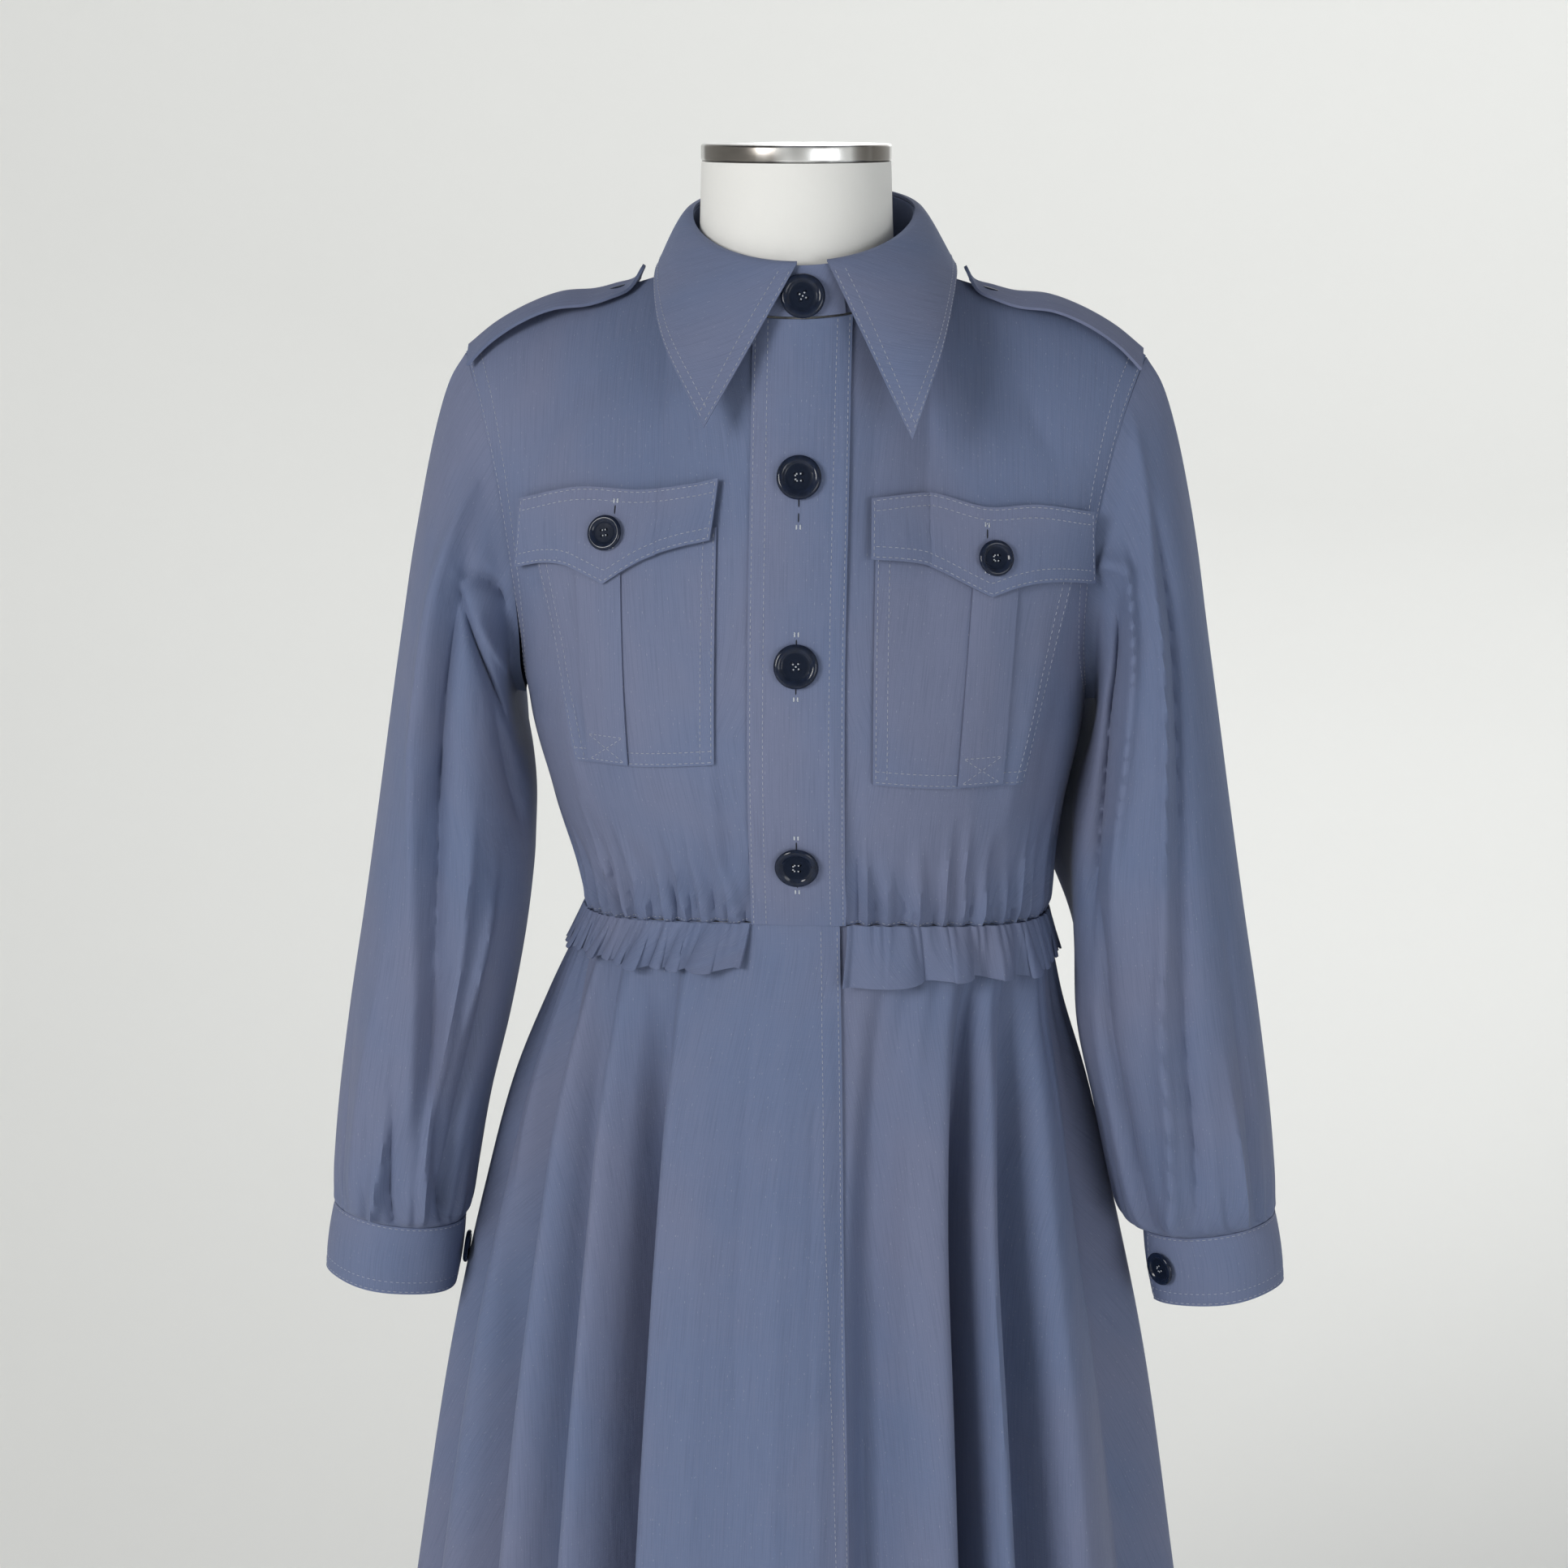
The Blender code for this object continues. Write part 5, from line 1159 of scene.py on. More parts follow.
for label, sign in SIDES.items():
    sleeve = sheet(f"sleeve_{label}_cloth", sleeve_place(label), (160, 140), around=True)
    worn(sleeve, f"sleeve_{label}", held="hung", rests_on=f"front_{label}")


# Cuffs
# A doubled band buttoned round the wrist, its buttonhole end lapped over the other end. It is
# topstitched along both edges and round its end.

CUFF_LAP = 38.6
CUFF_ROW = 0.0080


def cuff_place(label):
    """The place function of a cuff, from the under end to the buttonhole end."""
    closing = CUFF_CLOSING[label]
    sign = SIDES[label]

    def place(u, v):
        turns = np.radians(closing - CUFF_LAP / 2 + (360 + CUFF_LAP) * u)
        full = 360 / (360 + CUFF_LAP)
        layer = (LAYER + GAP / 4) * (u / full - 0.5 - CUFF_LAP / 720)
        drop = 1 - v
        inset = np.minimum(drop, v) * CUFF_HEIGHT
        sunk = grooves(inset, (NEAR_ROW,)) + grooves(inset, (CUFF_ROW,)) * (v < 0.5)
        bow = 0.0010 * np.sin(math.pi * drop) + 0.0007 * np.sin(turns * 5 + 1) * drop
        point = cuff_point(turns, drop * (1 - GAP / CUFF_HEIGHT), layer + bow - 0.00025 * sunk)
        point[:, 2] += CUFF_RAISED[label]
        return point * np.array([sign, 1, 1])

    return (lambda u, v: place(1 - u, v)) if sign > 0 else place


for label, sign in SIDES.items():
    place = cuff_place(label)
    cuff = sheet(f"cuff_{label}_cloth", place, (190, 30), DOUBLED_WALL)
    worn(cuff, f"cuff_{label}", rests_on=f"sleeve_{label}")
    buttonhole_end = "left" if sign > 0 else "right"
    rows = rims(place, ("bottom",), (NEAR_ROW, CUFF_ROW), steps=300)
    rows += rims(place, ("top",), (NEAR_ROW,), steps=300)
    rows += rims(place, (buttonhole_end,), (NEAR_ROW,), 0.05, 0.95, 40)
    stitches(f"cuff_stitches_{label}", rows, DOUBLED_WALL)


# Collar
# A stand buttoned round the neck, and a leaf with long points that turns down over it, doubled and
# topstitched in two rows down its front edges and round its outer edge.

NECK_OVALS = {
    "neckline": (NECK_WIDE, NECK["front"], (NECK_CENTRE_Y, NECK_SIDE_Z), NECK["back"]),
    "stand_top": (0.0640, (-0.0690, 1.4050), (0.0030, 1.4310), (0.0590, 1.4440)),
}
STAND_LIFT = 0.0012
STAND_LAP = math.radians(45)
COLLAR = table(
    "share edge_x edge_y edge_z roll",
    (0.00, 0.0575, -0.1120, 1.3190, 0.0010),
    (0.12, 0.0670, -0.1030, 1.3400, 0.0015),
    (0.26, 0.0775, -0.0820, 1.3630, 0.0020),
    (0.40, 0.0840, -0.0500, 1.3840, 0.0020),
    (0.55, 0.0865, -0.0100, 1.4000, 0.0020),
    (0.70, 0.0810, 0.0370, 1.3990, 0.0030),
    (0.85, 0.0510, 0.0800, 1.3930, 0.0050),
    (1.00, 0.0000, 0.0970, 1.3900, 0.0060),
)
COLLAR_ROWS = (0.0015, 0.0075)
COLLAR_LEFT_FALL = 0.006
COLLAR_CORNERS = (math.radians(-0.6), math.radians(15.6))
COLLAR_RISE = DOUBLED_WALL / 2 + GAP * 3
COLLAR_SHIFT = 0.0095
COLLAR_TURN_OVER = (0.0036, -0.0008)
COLLAR_TURN_SHARE = 0.06


def neck_oval(name, turn):
    """A point of an oval round the neck. Turn 0 is the front centre and grows towards the left."""
    half, front, side, back = (np.array(values) for values in NECK_OVALS[name])
    forward = np.cos(turn)[..., None]
    y_z = side + np.where(forward > 0, front - side, back - side) * np.abs(forward)
    return np.concatenate([half * np.sin(turn)[..., None], y_z], -1)


def from_neck(points):
    """Level outward directions from the middle of the neck."""
    return unit((points - np.array([0.0, NECK_CENTRE_Y, 0.0])) * np.array([1.0, 1.0, 0.0]))


def stand_place(u, v):
    """The stand, from its under end at the front, round the neck, to the buttonhole end."""
    turn = -STAND_LAP / 2 + (2 * math.pi + STAND_LAP) * u
    low, high = neck_oval("neckline", turn), neck_oval("stand_top", turn)
    low[:, 2] += STAND_LIFT
    away = from_neck(low * 0.5 + high * 0.5)
    layer = (LAYER + GAP / 4) * (turn / (2 * math.pi) - 0.5)
    return low * (1 - v)[:, None] + high * v[:, None] + away * layer[:, None]


stand = sheet("collar_stand_cloth", stand_place, (200, 14))
worn(stand, "collar_stand")


def collar_place(u, v):
    """The leaf: across from the wearer's left point to the right one, and up from its outer edge to
    the fold over the stand."""
    u = 1 - u
    share = 1 - np.abs(2 * u - 1)
    side = np.where(u < 0.5, -1.0, 1.0)
    corner = np.where(side < 0, *COLLAR_CORNERS)
    fold = neck_oval("stand_top", side * (corner + (math.pi - corner) * share))
    fold[:, 2] += COLLAR_RISE
    edge = np.stack([along(COLLAR, "share", c, share) for c in ("edge_x", "edge_y", "edge_z")], -1)
    edge[:, 0] = edge[:, 0] * side + COLLAR_SHIFT * (1 - share) ** 2
    edge[:, 2] -= np.where(side > 0, COLLAR_LEFT_FALL * (1 - share) ** 3, 0)
    away = from_neck(fold)
    roll = along(COLLAR, "share", "roll", share)
    over = fold + away * COLLAR_TURN_OVER[0] + np.array([0, 0, COLLAR_TURN_OVER[1]])
    t = np.clip((1 - v - COLLAR_TURN_SHARE) / (1 - COLLAR_TURN_SHARE), 0, 1)
    swell = roll * np.sin(math.pi * t**0.6) + 0.0012 * np.sin(share * 9 + side) * t * (1 - share)
    leaf = over + (edge - over) * t[:, None] + away * swell[:, None]
    bend = np.clip((1 - v) / COLLAR_TURN_SHARE, 0, 1) * math.pi / 2
    turned = fold + (over - fold) * np.stack([np.sin(bend)] * 2 + [1 - np.cos(bend)], -1)
    return np.where((1 - v < COLLAR_TURN_SHARE)[:, None], turned, leaf)


collar = sheet("collar_cloth", collar_place, (216, 52), DOUBLED_WALL)
worn(collar, "collar", held="folded", rests_on="collar_stand")
rows = rims(collar_place, ("bottom",), COLLAR_ROWS, 0.012, 0.988, 500)
rows += rims(collar_place, ("left", "right"), COLLAR_ROWS, 0.02, 0.90, 120)
stitches("collar_stitches", rows, DOUBLED_WALL)


# Pockets
# Two patch pockets with a box pleat down the middle, stitched round their sides and bottom in two
# rows. The pleat's bottom is held by a stitched box with a cross in it.

POCKET_WALL = 0.0010
ON_PANEL = WALL / 2 + GAP * 2.7 + POCKET_WALL / 2
ON_POCKET = ON_PANEL + POCKET_WALL + GAP * 2
POCKETS = {
    "pocket_right": (
        ((0.0455, 1.1320), (0.0850, 1.1270), (0.1270, 1.1245)),
        ((0.0455, 1.2620), (0.1560, 1.2560)),
    ),
    "pocket_left": (
        ((0.0425, 1.1215), (0.0840, 1.1165), (0.1245, 1.1145)),
        ((0.0425, 1.2600), (0.1575, 1.2520)),
    ),
    "pocket_pleat_right": (
        ((0.0950, 1.1270), (0.1190, 1.1265)),
        ((0.1010, 1.2480), (0.1270, 1.2480)),
    ),
    "pocket_pleat_left": (
        ((0.0885, 1.1175), (0.1125, 1.1165)),
        ((0.0970, 1.2420), (0.1220, 1.2420)),
    ),
    "flap_right": (
        (
            (0.0475, 1.2545), (0.0640, 1.2495), (0.0780, 1.2445), (0.0880, 1.2405), (0.0985, 1.2345),
            (0.1090, 1.2272), (0.1210, 1.2325), (0.1315, 1.2365), (0.1460, 1.2370), (0.1620, 1.2332),
        ),
        ((0.0435, 1.2880), (0.0825, 1.2790), (0.1305, 1.2784), (0.1600, 1.2716)),
    ),
    "flap_left": (
        (
            (0.0390, 1.2448), (0.0540, 1.2432), (0.0696, 1.2400), (0.0793, 1.2360), (0.0930, 1.2288),
            (0.1055, 1.2222), (0.1175, 1.2264), (0.1310, 1.2290), (0.1456, 1.2288), (0.1610, 1.2260),
        ),
        ((0.0390, 1.2780), (0.0715, 1.2785), (0.1040, 1.2704), (0.1310, 1.2712), (0.1615, 1.2664)),
    ),
}


def front_at(x, z):
    """The share and row height at which the front has the given x and z."""
    wide = TORSO["half_width"][-1]
    share, height = x / wide, np.array(z, float)
    for _ in range(50):
        point = bodice("front", share, height)
        share = share + (x - point[..., 0]) / wide
        height = height + (z - point[..., 2]) * 0.7
    return share, height


FLAP_CORNER = 5


def smooth_edge(points, at):
    """A point along a bottom or top edge, on a smooth line through the edge's points. A flap's bottom
    edge has a corner at its lowest point."""
    points = np.array(points, float)
    if len(points) < 3:
        return points[0] + (points[-1] - points[0]) * at[:, None]
    x = points[0, 0] + (points[-1, 0] - points[0, 0]) * at
    rows = {"x": points[:, 0], "z": points[:, 1]}
    if len(points) <= FLAP_CORNER + 1:
        return np.stack([x, along(rows, "x", "z", x)], -1)
    halves = points[:FLAP_CORNER + 1], points[FLAP_CORNER:]
    first, last = (along({"x": half[:, 0], "z": half[:, 1]}, "x", "z", x) for half in halves)
    return np.stack([x, np.where(x < points[FLAP_CORNER, 0], first, last)], -1)


def laid_place(name, lift, soft):
    """The place function of a piece that lies on a front: its outline is drawn on the front, and soft
    gives how far it stands off its seat at each share across and up."""
    sign = SIDES[name.rsplit("_", 1)[1]]
    bottom, top = POCKETS[name]

    def place(u, v):
        at = u if sign > 0 else 1 - u
        flat = smooth_edge(bottom, at) * (1 - v)[:, None] + smooth_edge(top, at) * v[:, None]
        share, height = front_at(FRONT_X + sign * flat[:, 0], flat[:, 1])
        point, out = skin("front", share, height, False)
        return point + out * (lift + soft(at, v))[:, None]

    return place


def pocket_soft(at, v):
    """The pocket lies nearly flat, with a slight wave."""
    return 0.0004 * np.sin(at * 9 + v * 5) * np.sin(math.pi * v) + 0.0002


def pleat_soft(at, v):
    """The pleat stands up between its two folded edges, more towards the top."""
    return 0.0002 + 0.0010 * np.sin(math.pi * at) * v


def flap_soft(at, v):
    """The flap hangs from its top seam and lifts a little at its free edge."""
    return 0.0004 + 0.0016 * (1 - v) ** 2 + 0.0007 * np.sin(at * 12) * (1 - v)


# Each piece's node, its grid, its seat, its lie and how it is held.
POCKET_PIECES = {
    "pocket": ("pocket", (64, 72), ON_PANEL, pocket_soft, "stretched"),
    "pleat": ("pocket_pleat", (18, 72), ON_POCKET, pleat_soft, "stretched"),
    "flap": ("flap", (96, 40), ON_POCKET + POCKET_WALL + GAP, flap_soft, "hung"),
}
POCKET_ROWS = (NEAR_ROW, 0.0080)
FLAP_ROWS = (NEAR_ROW, 0.0075)
BOX_TOP = 0.13
BOX_BOTTOM = 0.012
POCKET_PLACES = {}
for label in SIDES:
    for kind, (stem, cells, seat, lie, held) in POCKET_PIECES.items():
        place = POCKET_PLACES[kind, label] = laid_place(f"{stem}_{label}", seat, lie)
        piece = sheet(f"{kind}_{label}_cloth", place, cells, POCKET_WALL)
        worn(piece, f"{stem}_{label}", held=held, rests_on=f"front_{label}")
    pocket, pleat, flap = (POCKET_PLACES[kind, label] for kind in POCKET_PIECES)
    rows = rims(pocket, ("left", "right"), POCKET_ROWS, 0.02, 0.98, 120)
    rows += rims(pocket, ("bottom",), POCKET_ROWS, 0.01, 0.99, 120)
    stitches(f"pocket_stitches_{label}", rows, POCKET_WALL)
    steps = np.linspace(0, 1, 30)
    climb = (BOX_TOP - BOX_BOTTOM) * steps
    lines = (0 * steps + BOX_TOP, 0 * steps + BOX_BOTTOM, BOX_BOTTOM + climb, BOX_TOP - climb)
    rows = [path_on(pleat, 0.08 + 0.84 * steps, line) for line in lines]
    stitches(f"pleat_stitches_{label}", rows, POCKET_WALL)
    rows = rims(flap, ("bottom", "top"), FLAP_ROWS, 0.015, 0.985)
    rows += rims(flap, ("left", "right"), FLAP_ROWS[:1], 0.03, 0.97, 60)
    stitches(f"flap_stitches_{label}", rows, POCKET_WALL)


# Shoulder straps
# A doubled strap on each shoulder, sewn into the armhole seam and buttoned near its point. It arches
# over the shoulder seam, and its point flicks up.

STRAP = table(
    "share half_width lift",
    (0.985, 0.0210, 0.0000),
    (0.900, 0.0210, 0.0012),
    (0.800, 0.0210, 0.0045),
    (0.700, 0.0205, 0.0052),
    (0.610, 0.0200, 0.0014),
    (0.545, 0.0185, 0.0008),
    (0.490, 0.0135, 0.0008),
    (0.455, 0.0035, 0.0068),
)
STRAP_ACROSS = (-1.0, -0.5, 0.0, 0.5, 1.0)
STRAP_WALL = 0.0018
STRAP_ROW = 0.0018
STRAP_BUTTON_ROW = 5


def over_shoulder(share, across):
    """A point of the bodice at a distance across the shoulder seam, to the front if positive, and
    its outward direction there."""
    face = "front" if across >= 0 else "back"
    heights = np.linspace(SHOULDER, SHOULDER - 0.06, 61)
    path = bodice(face, np.full_like(heights, share), heights)
    height = np.interp(abs(across), run_along(path), heights)
    out = bodice_normal(face, share, height)
    if abs(across) < 1e-6:
        out = unit(out + bodice_normal("back", share, height))
    return bodice(face, share, height), out


def strap_keys(sign):
    """Key points of a strap: a row of five across at each row of its table."""
    rows = []
    for share, half, lift in zip(*STRAP.values()):
        pairs = [over_shoulder(share, half * a) for a in STRAP_ACROSS]
        out = unit(np.array([n for _, n in pairs]))
        flat = unit(out.mean(0))
        spots = np.array([p for p, _ in pairs])
        level = spots + flat * ((spots[2] - spots) @ flat)[:, None] * 0.45
        rows.append(level + out * (WALL / 2 + GAP * 2 + STRAP_WALL / 2) + flat * lift)
    return np.array(rows) * np.array([sign, 1, 1])


def strap_place(sign):
    """The place function of a strap, from its point up to the armhole seam."""
    keys = strap_keys(sign)

    def place(u, v):
        across = (u if sign < 0 else 1 - u) * 4
        every = np.tile(keys, (1, len(u), 1))
        line = through(every, np.repeat((1 - v) * (len(keys) - 1), 5)).reshape(len(u), 5, 3)
        i = np.clip(across.astype(int), 0, 3)
        t = (across - i)[:, None]
        spot = np.arange(len(u))
        return line[spot, i] * (1 - t) + line[spot, i + 1] * t

    return place


STRAP_PLACES = {}
for label, sign in SIDES.items():
    STRAP_PLACES[label] = strap_place(sign)
    strap = sheet(f"strap_{label}_cloth", STRAP_PLACES[label], (26, 80), STRAP_WALL)
    worn(strap, f"shoulder_strap_{label}", held="folded", rests_on=f"front_{label}")
    rows = rims(STRAP_PLACES[label], ("left", "right"), (STRAP_ROW,), 0.06, 0.99, 120)
    stitches(f"strap_stitches_{label}", rows, STRAP_WALL)


# Buttons
# Navy plastic, turned with a raised rim round a sunk middle, and polished. Each is sewn on through
# four holes with a pale thread.



def lumps_in(tree, scale, detail=2.0, stretch=(1.0, 1.0, 1.0)):
    """Noise in the object's own space, with its count of lumps to the metre."""
    where = node(tree, "ShaderNodeTexCoord").outputs["Object"]
    if stretch != (1.0, 1.0, 1.0):
        where = node(tree, "ShaderNodeMapping", {"Vector": where, "Scale": stretch}).outputs[0]
    inputs = {"Scale": scale, "Detail": detail, "Vector": where}
    return node(tree, "ShaderNodeTexNoise", inputs).outputs["Fac"]


def tinted(name, colour, roughness, scale, low, high, first, second, detail=2.0):
    """A new material whose colour goes from first to second in soft patches."""
    made, shader, tree = paint(name, colour, roughness)
    share = ramp(tree, lumps_in(tree, scale, detail), low, high)
    tree.links.new(mixed(tree, share, first, second), shader.inputs["Base Color"])
    return made, shader, tree


NAVY = (0.007, 0.011, 0.026)
NAVY_PATCHES = (0.005, 0.009, 0.022), (0.009, 0.015, 0.036)
BUTTON_NAVY, shader, tree = tinted("button_navy", NAVY, 0.10, 260.0, 0.35, 0.7, *NAVY_PATCHES)
shader.inputs["Specular IOR Level"].default_value = 0.3

# The sunk middle is less polished than the rim.
NAVY_MIDDLE = (0.006, 0.010, 0.022)
BUTTON_SATIN, shader, tree = paint("button_satin", NAVY_MIDDLE, 0.5)
tree.links.new(ramp(tree, lumps_in(tree, 300.0), -1.0, 2.2), shader.inputs["Roughness"])
shader.inputs["Specular IOR Level"].default_value = 0.08

PALE_THREAD = (0.36, 0.40, 0.47)
PALE_PATCHES = (0.42, 0.46, 0.52), (0.56, 0.59, 0.64)
BAR_THREAD = tinted("buttonhole_thread", PALE_THREAD, 0.6, 900.0, 0.35, 0.65, *PALE_PATCHES)[0]

BUTTON_COAT = (0.0125, 0.0034)
BUTTON_SMALL = (0.0102, 0.0030)
BUTTON_STRAP = (0.0085, 0.0026)
CUFF_BUTTON_DROP = 0.46
CUFF_BUTTON_SEAT = LAYER / 2 + WALL / 2 + 0.0012
FLAP_LIFT = 0.0011

# The button's section from the middle of its face out and round to its back, as shares of its radius
# and its height.
BUTTON_SECTION = (
    (0.00, 0.52), (0.50, 0.52), (0.62, 0.56), (0.68, 0.74), (0.74, 0.92), (0.82, 1.00), (0.90, 0.97),
    (0.97, 0.80), (1.00, 0.52), (0.96, 0.22), (0.86, 0.04), (0.60, 0.00), (0.00, 0.00),
)
HOLE_OUT = 0.155
HOLE_RADIUS = 0.072
HOLE_CORNERS = ((1, 1), (1, -1), (-1, -1), (-1, 1))
MIDDLE_SHARE = 0.61


def only(piece):
    """Selects one object and nothing else."""
    bpy.ops.object.select_all(action="DESELECT")
    bpy.context.view_layer.objects.active = piece
    piece.select_set(True)


def turned_button(name, size):
    """A button lying at the origin, face up: its section is spun round and four holes are cut."""
    radius, height = size
    section = [(r * radius, 0, h * height) for r, h in BUTTON_SECTION]
    button, mesh = meshed(name, section, [(i, i + 1) for i in range(len(section) - 1)], [])
    only(button)
    bpy.ops.object.mode_set(mode="EDIT")
    bpy.ops.mesh.select_all(action="SELECT")
    bpy.ops.mesh.spin(steps=48, angle=2 * math.pi, center=(0, 0, 0), axis=(0, 0, 1))
    bpy.ops.mesh.select_all(action="SELECT")
    bpy.ops.mesh.remove_doubles(threshold=1e-6)
    bpy.ops.mesh.normals_make_consistent(inside=False)
    bpy.ops.object.mode_set(mode="OBJECT")
    for a, b in HOLE_CORNERS:
        bpy.ops.mesh.primitive_cylinder_add(
            vertices=14,
            radius=radius * HOLE_RADIUS,
            depth=height * 3,
            location=(radius * HOLE_OUT * a, radius * HOLE_OUT * b, height / 2),
        )
        drill = bpy.context.object
        cut = button.modifiers.new("hole", "BOOLEAN")
        cut.operation = "DIFFERENCE"
        cut.object = drill
        bpy.context.view_layer.objects.active = button
        bpy.ops.object.modifier_apply(modifier="hole")
        bpy.data.objects.remove(drill)
    only(button)
    bpy.ops.object.shade_smooth()
    mesh.set_sharp_from_angle(angle=math.radians(40))
    mesh.materials.append(BUTTON_NAVY)
    mesh.materials.append(BUTTON_SATIN)
    for face in mesh.polygons:
        sunk = face.center.xy.length < MIDDLE_SHARE * radius and face.center.z > 0.2 * height
        face.material_index = int(sunk)
    return button


BUTTON_SIZES = (BUTTON_COAT, BUTTON_SMALL, BUTTON_STRAP)
BUTTON_MODELS = {size: turned_button("button_model", size) for size in BUTTON_SIZES}


def set_button(node_name, seat, out, size, clear, turn, thread):
    """A copy of a button on its seat, with its sewing thread. Turn is how far it is turned on its
    thread, and thread the pairs of holes that the thread joins."""
    radius, height = size
    out = unit(np.asarray(out, float))
    level = ([0.0, 0.0, 1.0], out) if abs(out[2]) < 0.9 else (out, [1.0, 0.0, 0.0])
    side = unit(np.cross(*level))
    up = np.cross(out, side)
    cosine, sine = math.cos(turn), math.sin(turn)
    axes = np.array([side * cosine + up * sine, up * cosine - side * sine, out])
    origin = np.asarray(seat) + out * clear
    mesh = BUTTON_MODELS[size].data.copy()
    at = np.empty(len(mesh.vertices) * 3)
    mesh.vertices.foreach_get("co", at)
    mesh.vertices.foreach_set("co", (at.reshape(-1, 3) @ axes + origin).ravel())
    piece = bpy.data.objects.new(node_name + "_turned", mesh)
    mesh.name = piece.name
    bpy.context.scene.collection.objects.link(piece)
    stand_for(piece, node_name)
    rows = []
    for pair in thread:
        start, end = (np.array([*HOLE_CORNERS[k], 0]) * radius * HOLE_OUT for k in pair)
        for shift in (-STITCH_RADIUS, STITCH_RADIUS):
            aside = unit(np.cross(end - start, [0, 0, 1])) * shift
            line = start + (end - start) * np.linspace(-0.06, 1.06, 9)[:, None] + aside
            line[:, 2] += height * BUTTON_SECTION[0][1] + 0.00012
            rows.append((line @ axes + origin, np.tile(out, (9, 1))))
    stitches(node_name + "_thread", rows, 0.0, 0.6 * radius * HOLE_OUT, thread=BAR_THREAD)


# The pairs of holes that a button's thread joins, and each button's place, turn and thread.
PARALLEL = ((0, 3), (1, 2))
CROSSED = ((0, 2), (1, 3))
HOOKED = ((0, 3), (3, 2), (2, 1))
BAND_BUTTONS = ((1.290, 0.05, HOOKED), (1.188, 0.10, CROSSED), (1.0725, -0.05, HOOKED))
FLAP_BUTTON = {"right": (0.1085, 1.2545, 0.2, PARALLEL), "left": (0.1075, 1.2430, 0.0, HOOKED)}
TOP_BUTTON = (math.radians(3.5), 0.40)

for i, (z, turn, thread) in enumerate(BAND_BUTTONS):
    share, height = front_at(np.array(FRONT_X), np.array(z))
    out = bodice_normal("front", share, height)
    seat = bodice("front", share, height) + out * (LAYER + DOUBLED_WALL / 2)
    set_button(f"button_front_{i + 2}", seat, out, BUTTON_COAT, GAP, turn, thread)

neck_u = (TOP_BUTTON[0] + 2 * math.pi + STAND_LAP / 2) / (2 * math.pi + STAND_LAP)
seat = stand_place(np.array([neck_u]), np.array([TOP_BUTTON[1]]))[0] + np.array([0, -WALL / 2, 0])
set_button("button_front_1", seat, (0.06, -1.0, 0.18), BUTTON_COAT, GAP * 3, 0.3, CROSSED)

for label, sign in SIDES.items():
    x, z, turn, thread = FLAP_BUTTON[label]
    share, height = front_at(np.array(FRONT_X + sign * x), np.array(z))
    out = bodice_normal("front", share, height)
    seat = bodice("front", share, height) + out * (ON_POCKET + POCKET_WALL * 1.5 + GAP + FLAP_LIFT)
    set_button(f"button_flap_{label}", seat, out, BUTTON_SMALL, GAP * 2, turn, thread)
    row = np.array([1 - STRAP_BUTTON_ROW / (len(STRAP["share"]) - 1)])
    points, outs = path_on(STRAP_PLACES[label], np.array([0.5]), row)
    clear = STRAP_WALL / 2 + GAP
    set_button(f"button_strap_{label}", points[0], outs[0], BUTTON_STRAP, clear, 0.4, PARALLEL)
    turn = np.array([math.radians(CUFF_CLOSING[label])])
    seat = cuff_point(turn, CUFF_BUTTON_DROP, CUFF_BUTTON_SEAT)[0]
    seat[2] += CUFF_RAISED[label]
    out = cuff_point(turn, CUFF_BUTTON_DROP, 0.02)[0] - cuff_point(turn, CUFF_BUTTON_DROP)[0]
    both = np.array([sign, 1, 1])
    set_button(f"button_cuff_{label}", seat * both, out * both, BUTTON_SMALL, GAP * 2, 0.6, HOOKED)

for model in BUTTON_MODELS.values():
    bpy.data.objects.remove(model)


# Buttonholes
# Each is a slit with close stitches down both sides and a bar across each end, in the same pale
# thread. The slit is not cut: a thin near-black strip of painted shade lies along it. They run up and
# down on the band and the flaps, and most of each is under its button.

BUTTONHOLE = 0.034
BUTTONHOLE_SMALL = 0.0245
BAR = 0.0042
BAND_HOLE_SHIFTS = (-0.0085, 0.0, 0.0)
FLAP_HOLE_SHIFT = (0.0030, 0.0070)
HOLE_STITCH = 0.0005
HOLE_WIDTHS = (0.0004, 0.0021)
HOLE_ROWS = 6

# The slit's colour is painted shade: a near-black for the shadow in the opening, in random patches.
SLIT_SHADE_DARK = (0.006, 0.008, 0.014)
SLIT_SHADE_PATCHES = (0.004, 0.006, 0.010), (0.010, 0.013, 0.022)
SLIT_SHADE = tinted("buttonhole_slit_shade", SLIT_SHADE_DARK, 0.9, 900.0, 0.35, 0.65, *SLIT_SHADE_PATCHES)[0]


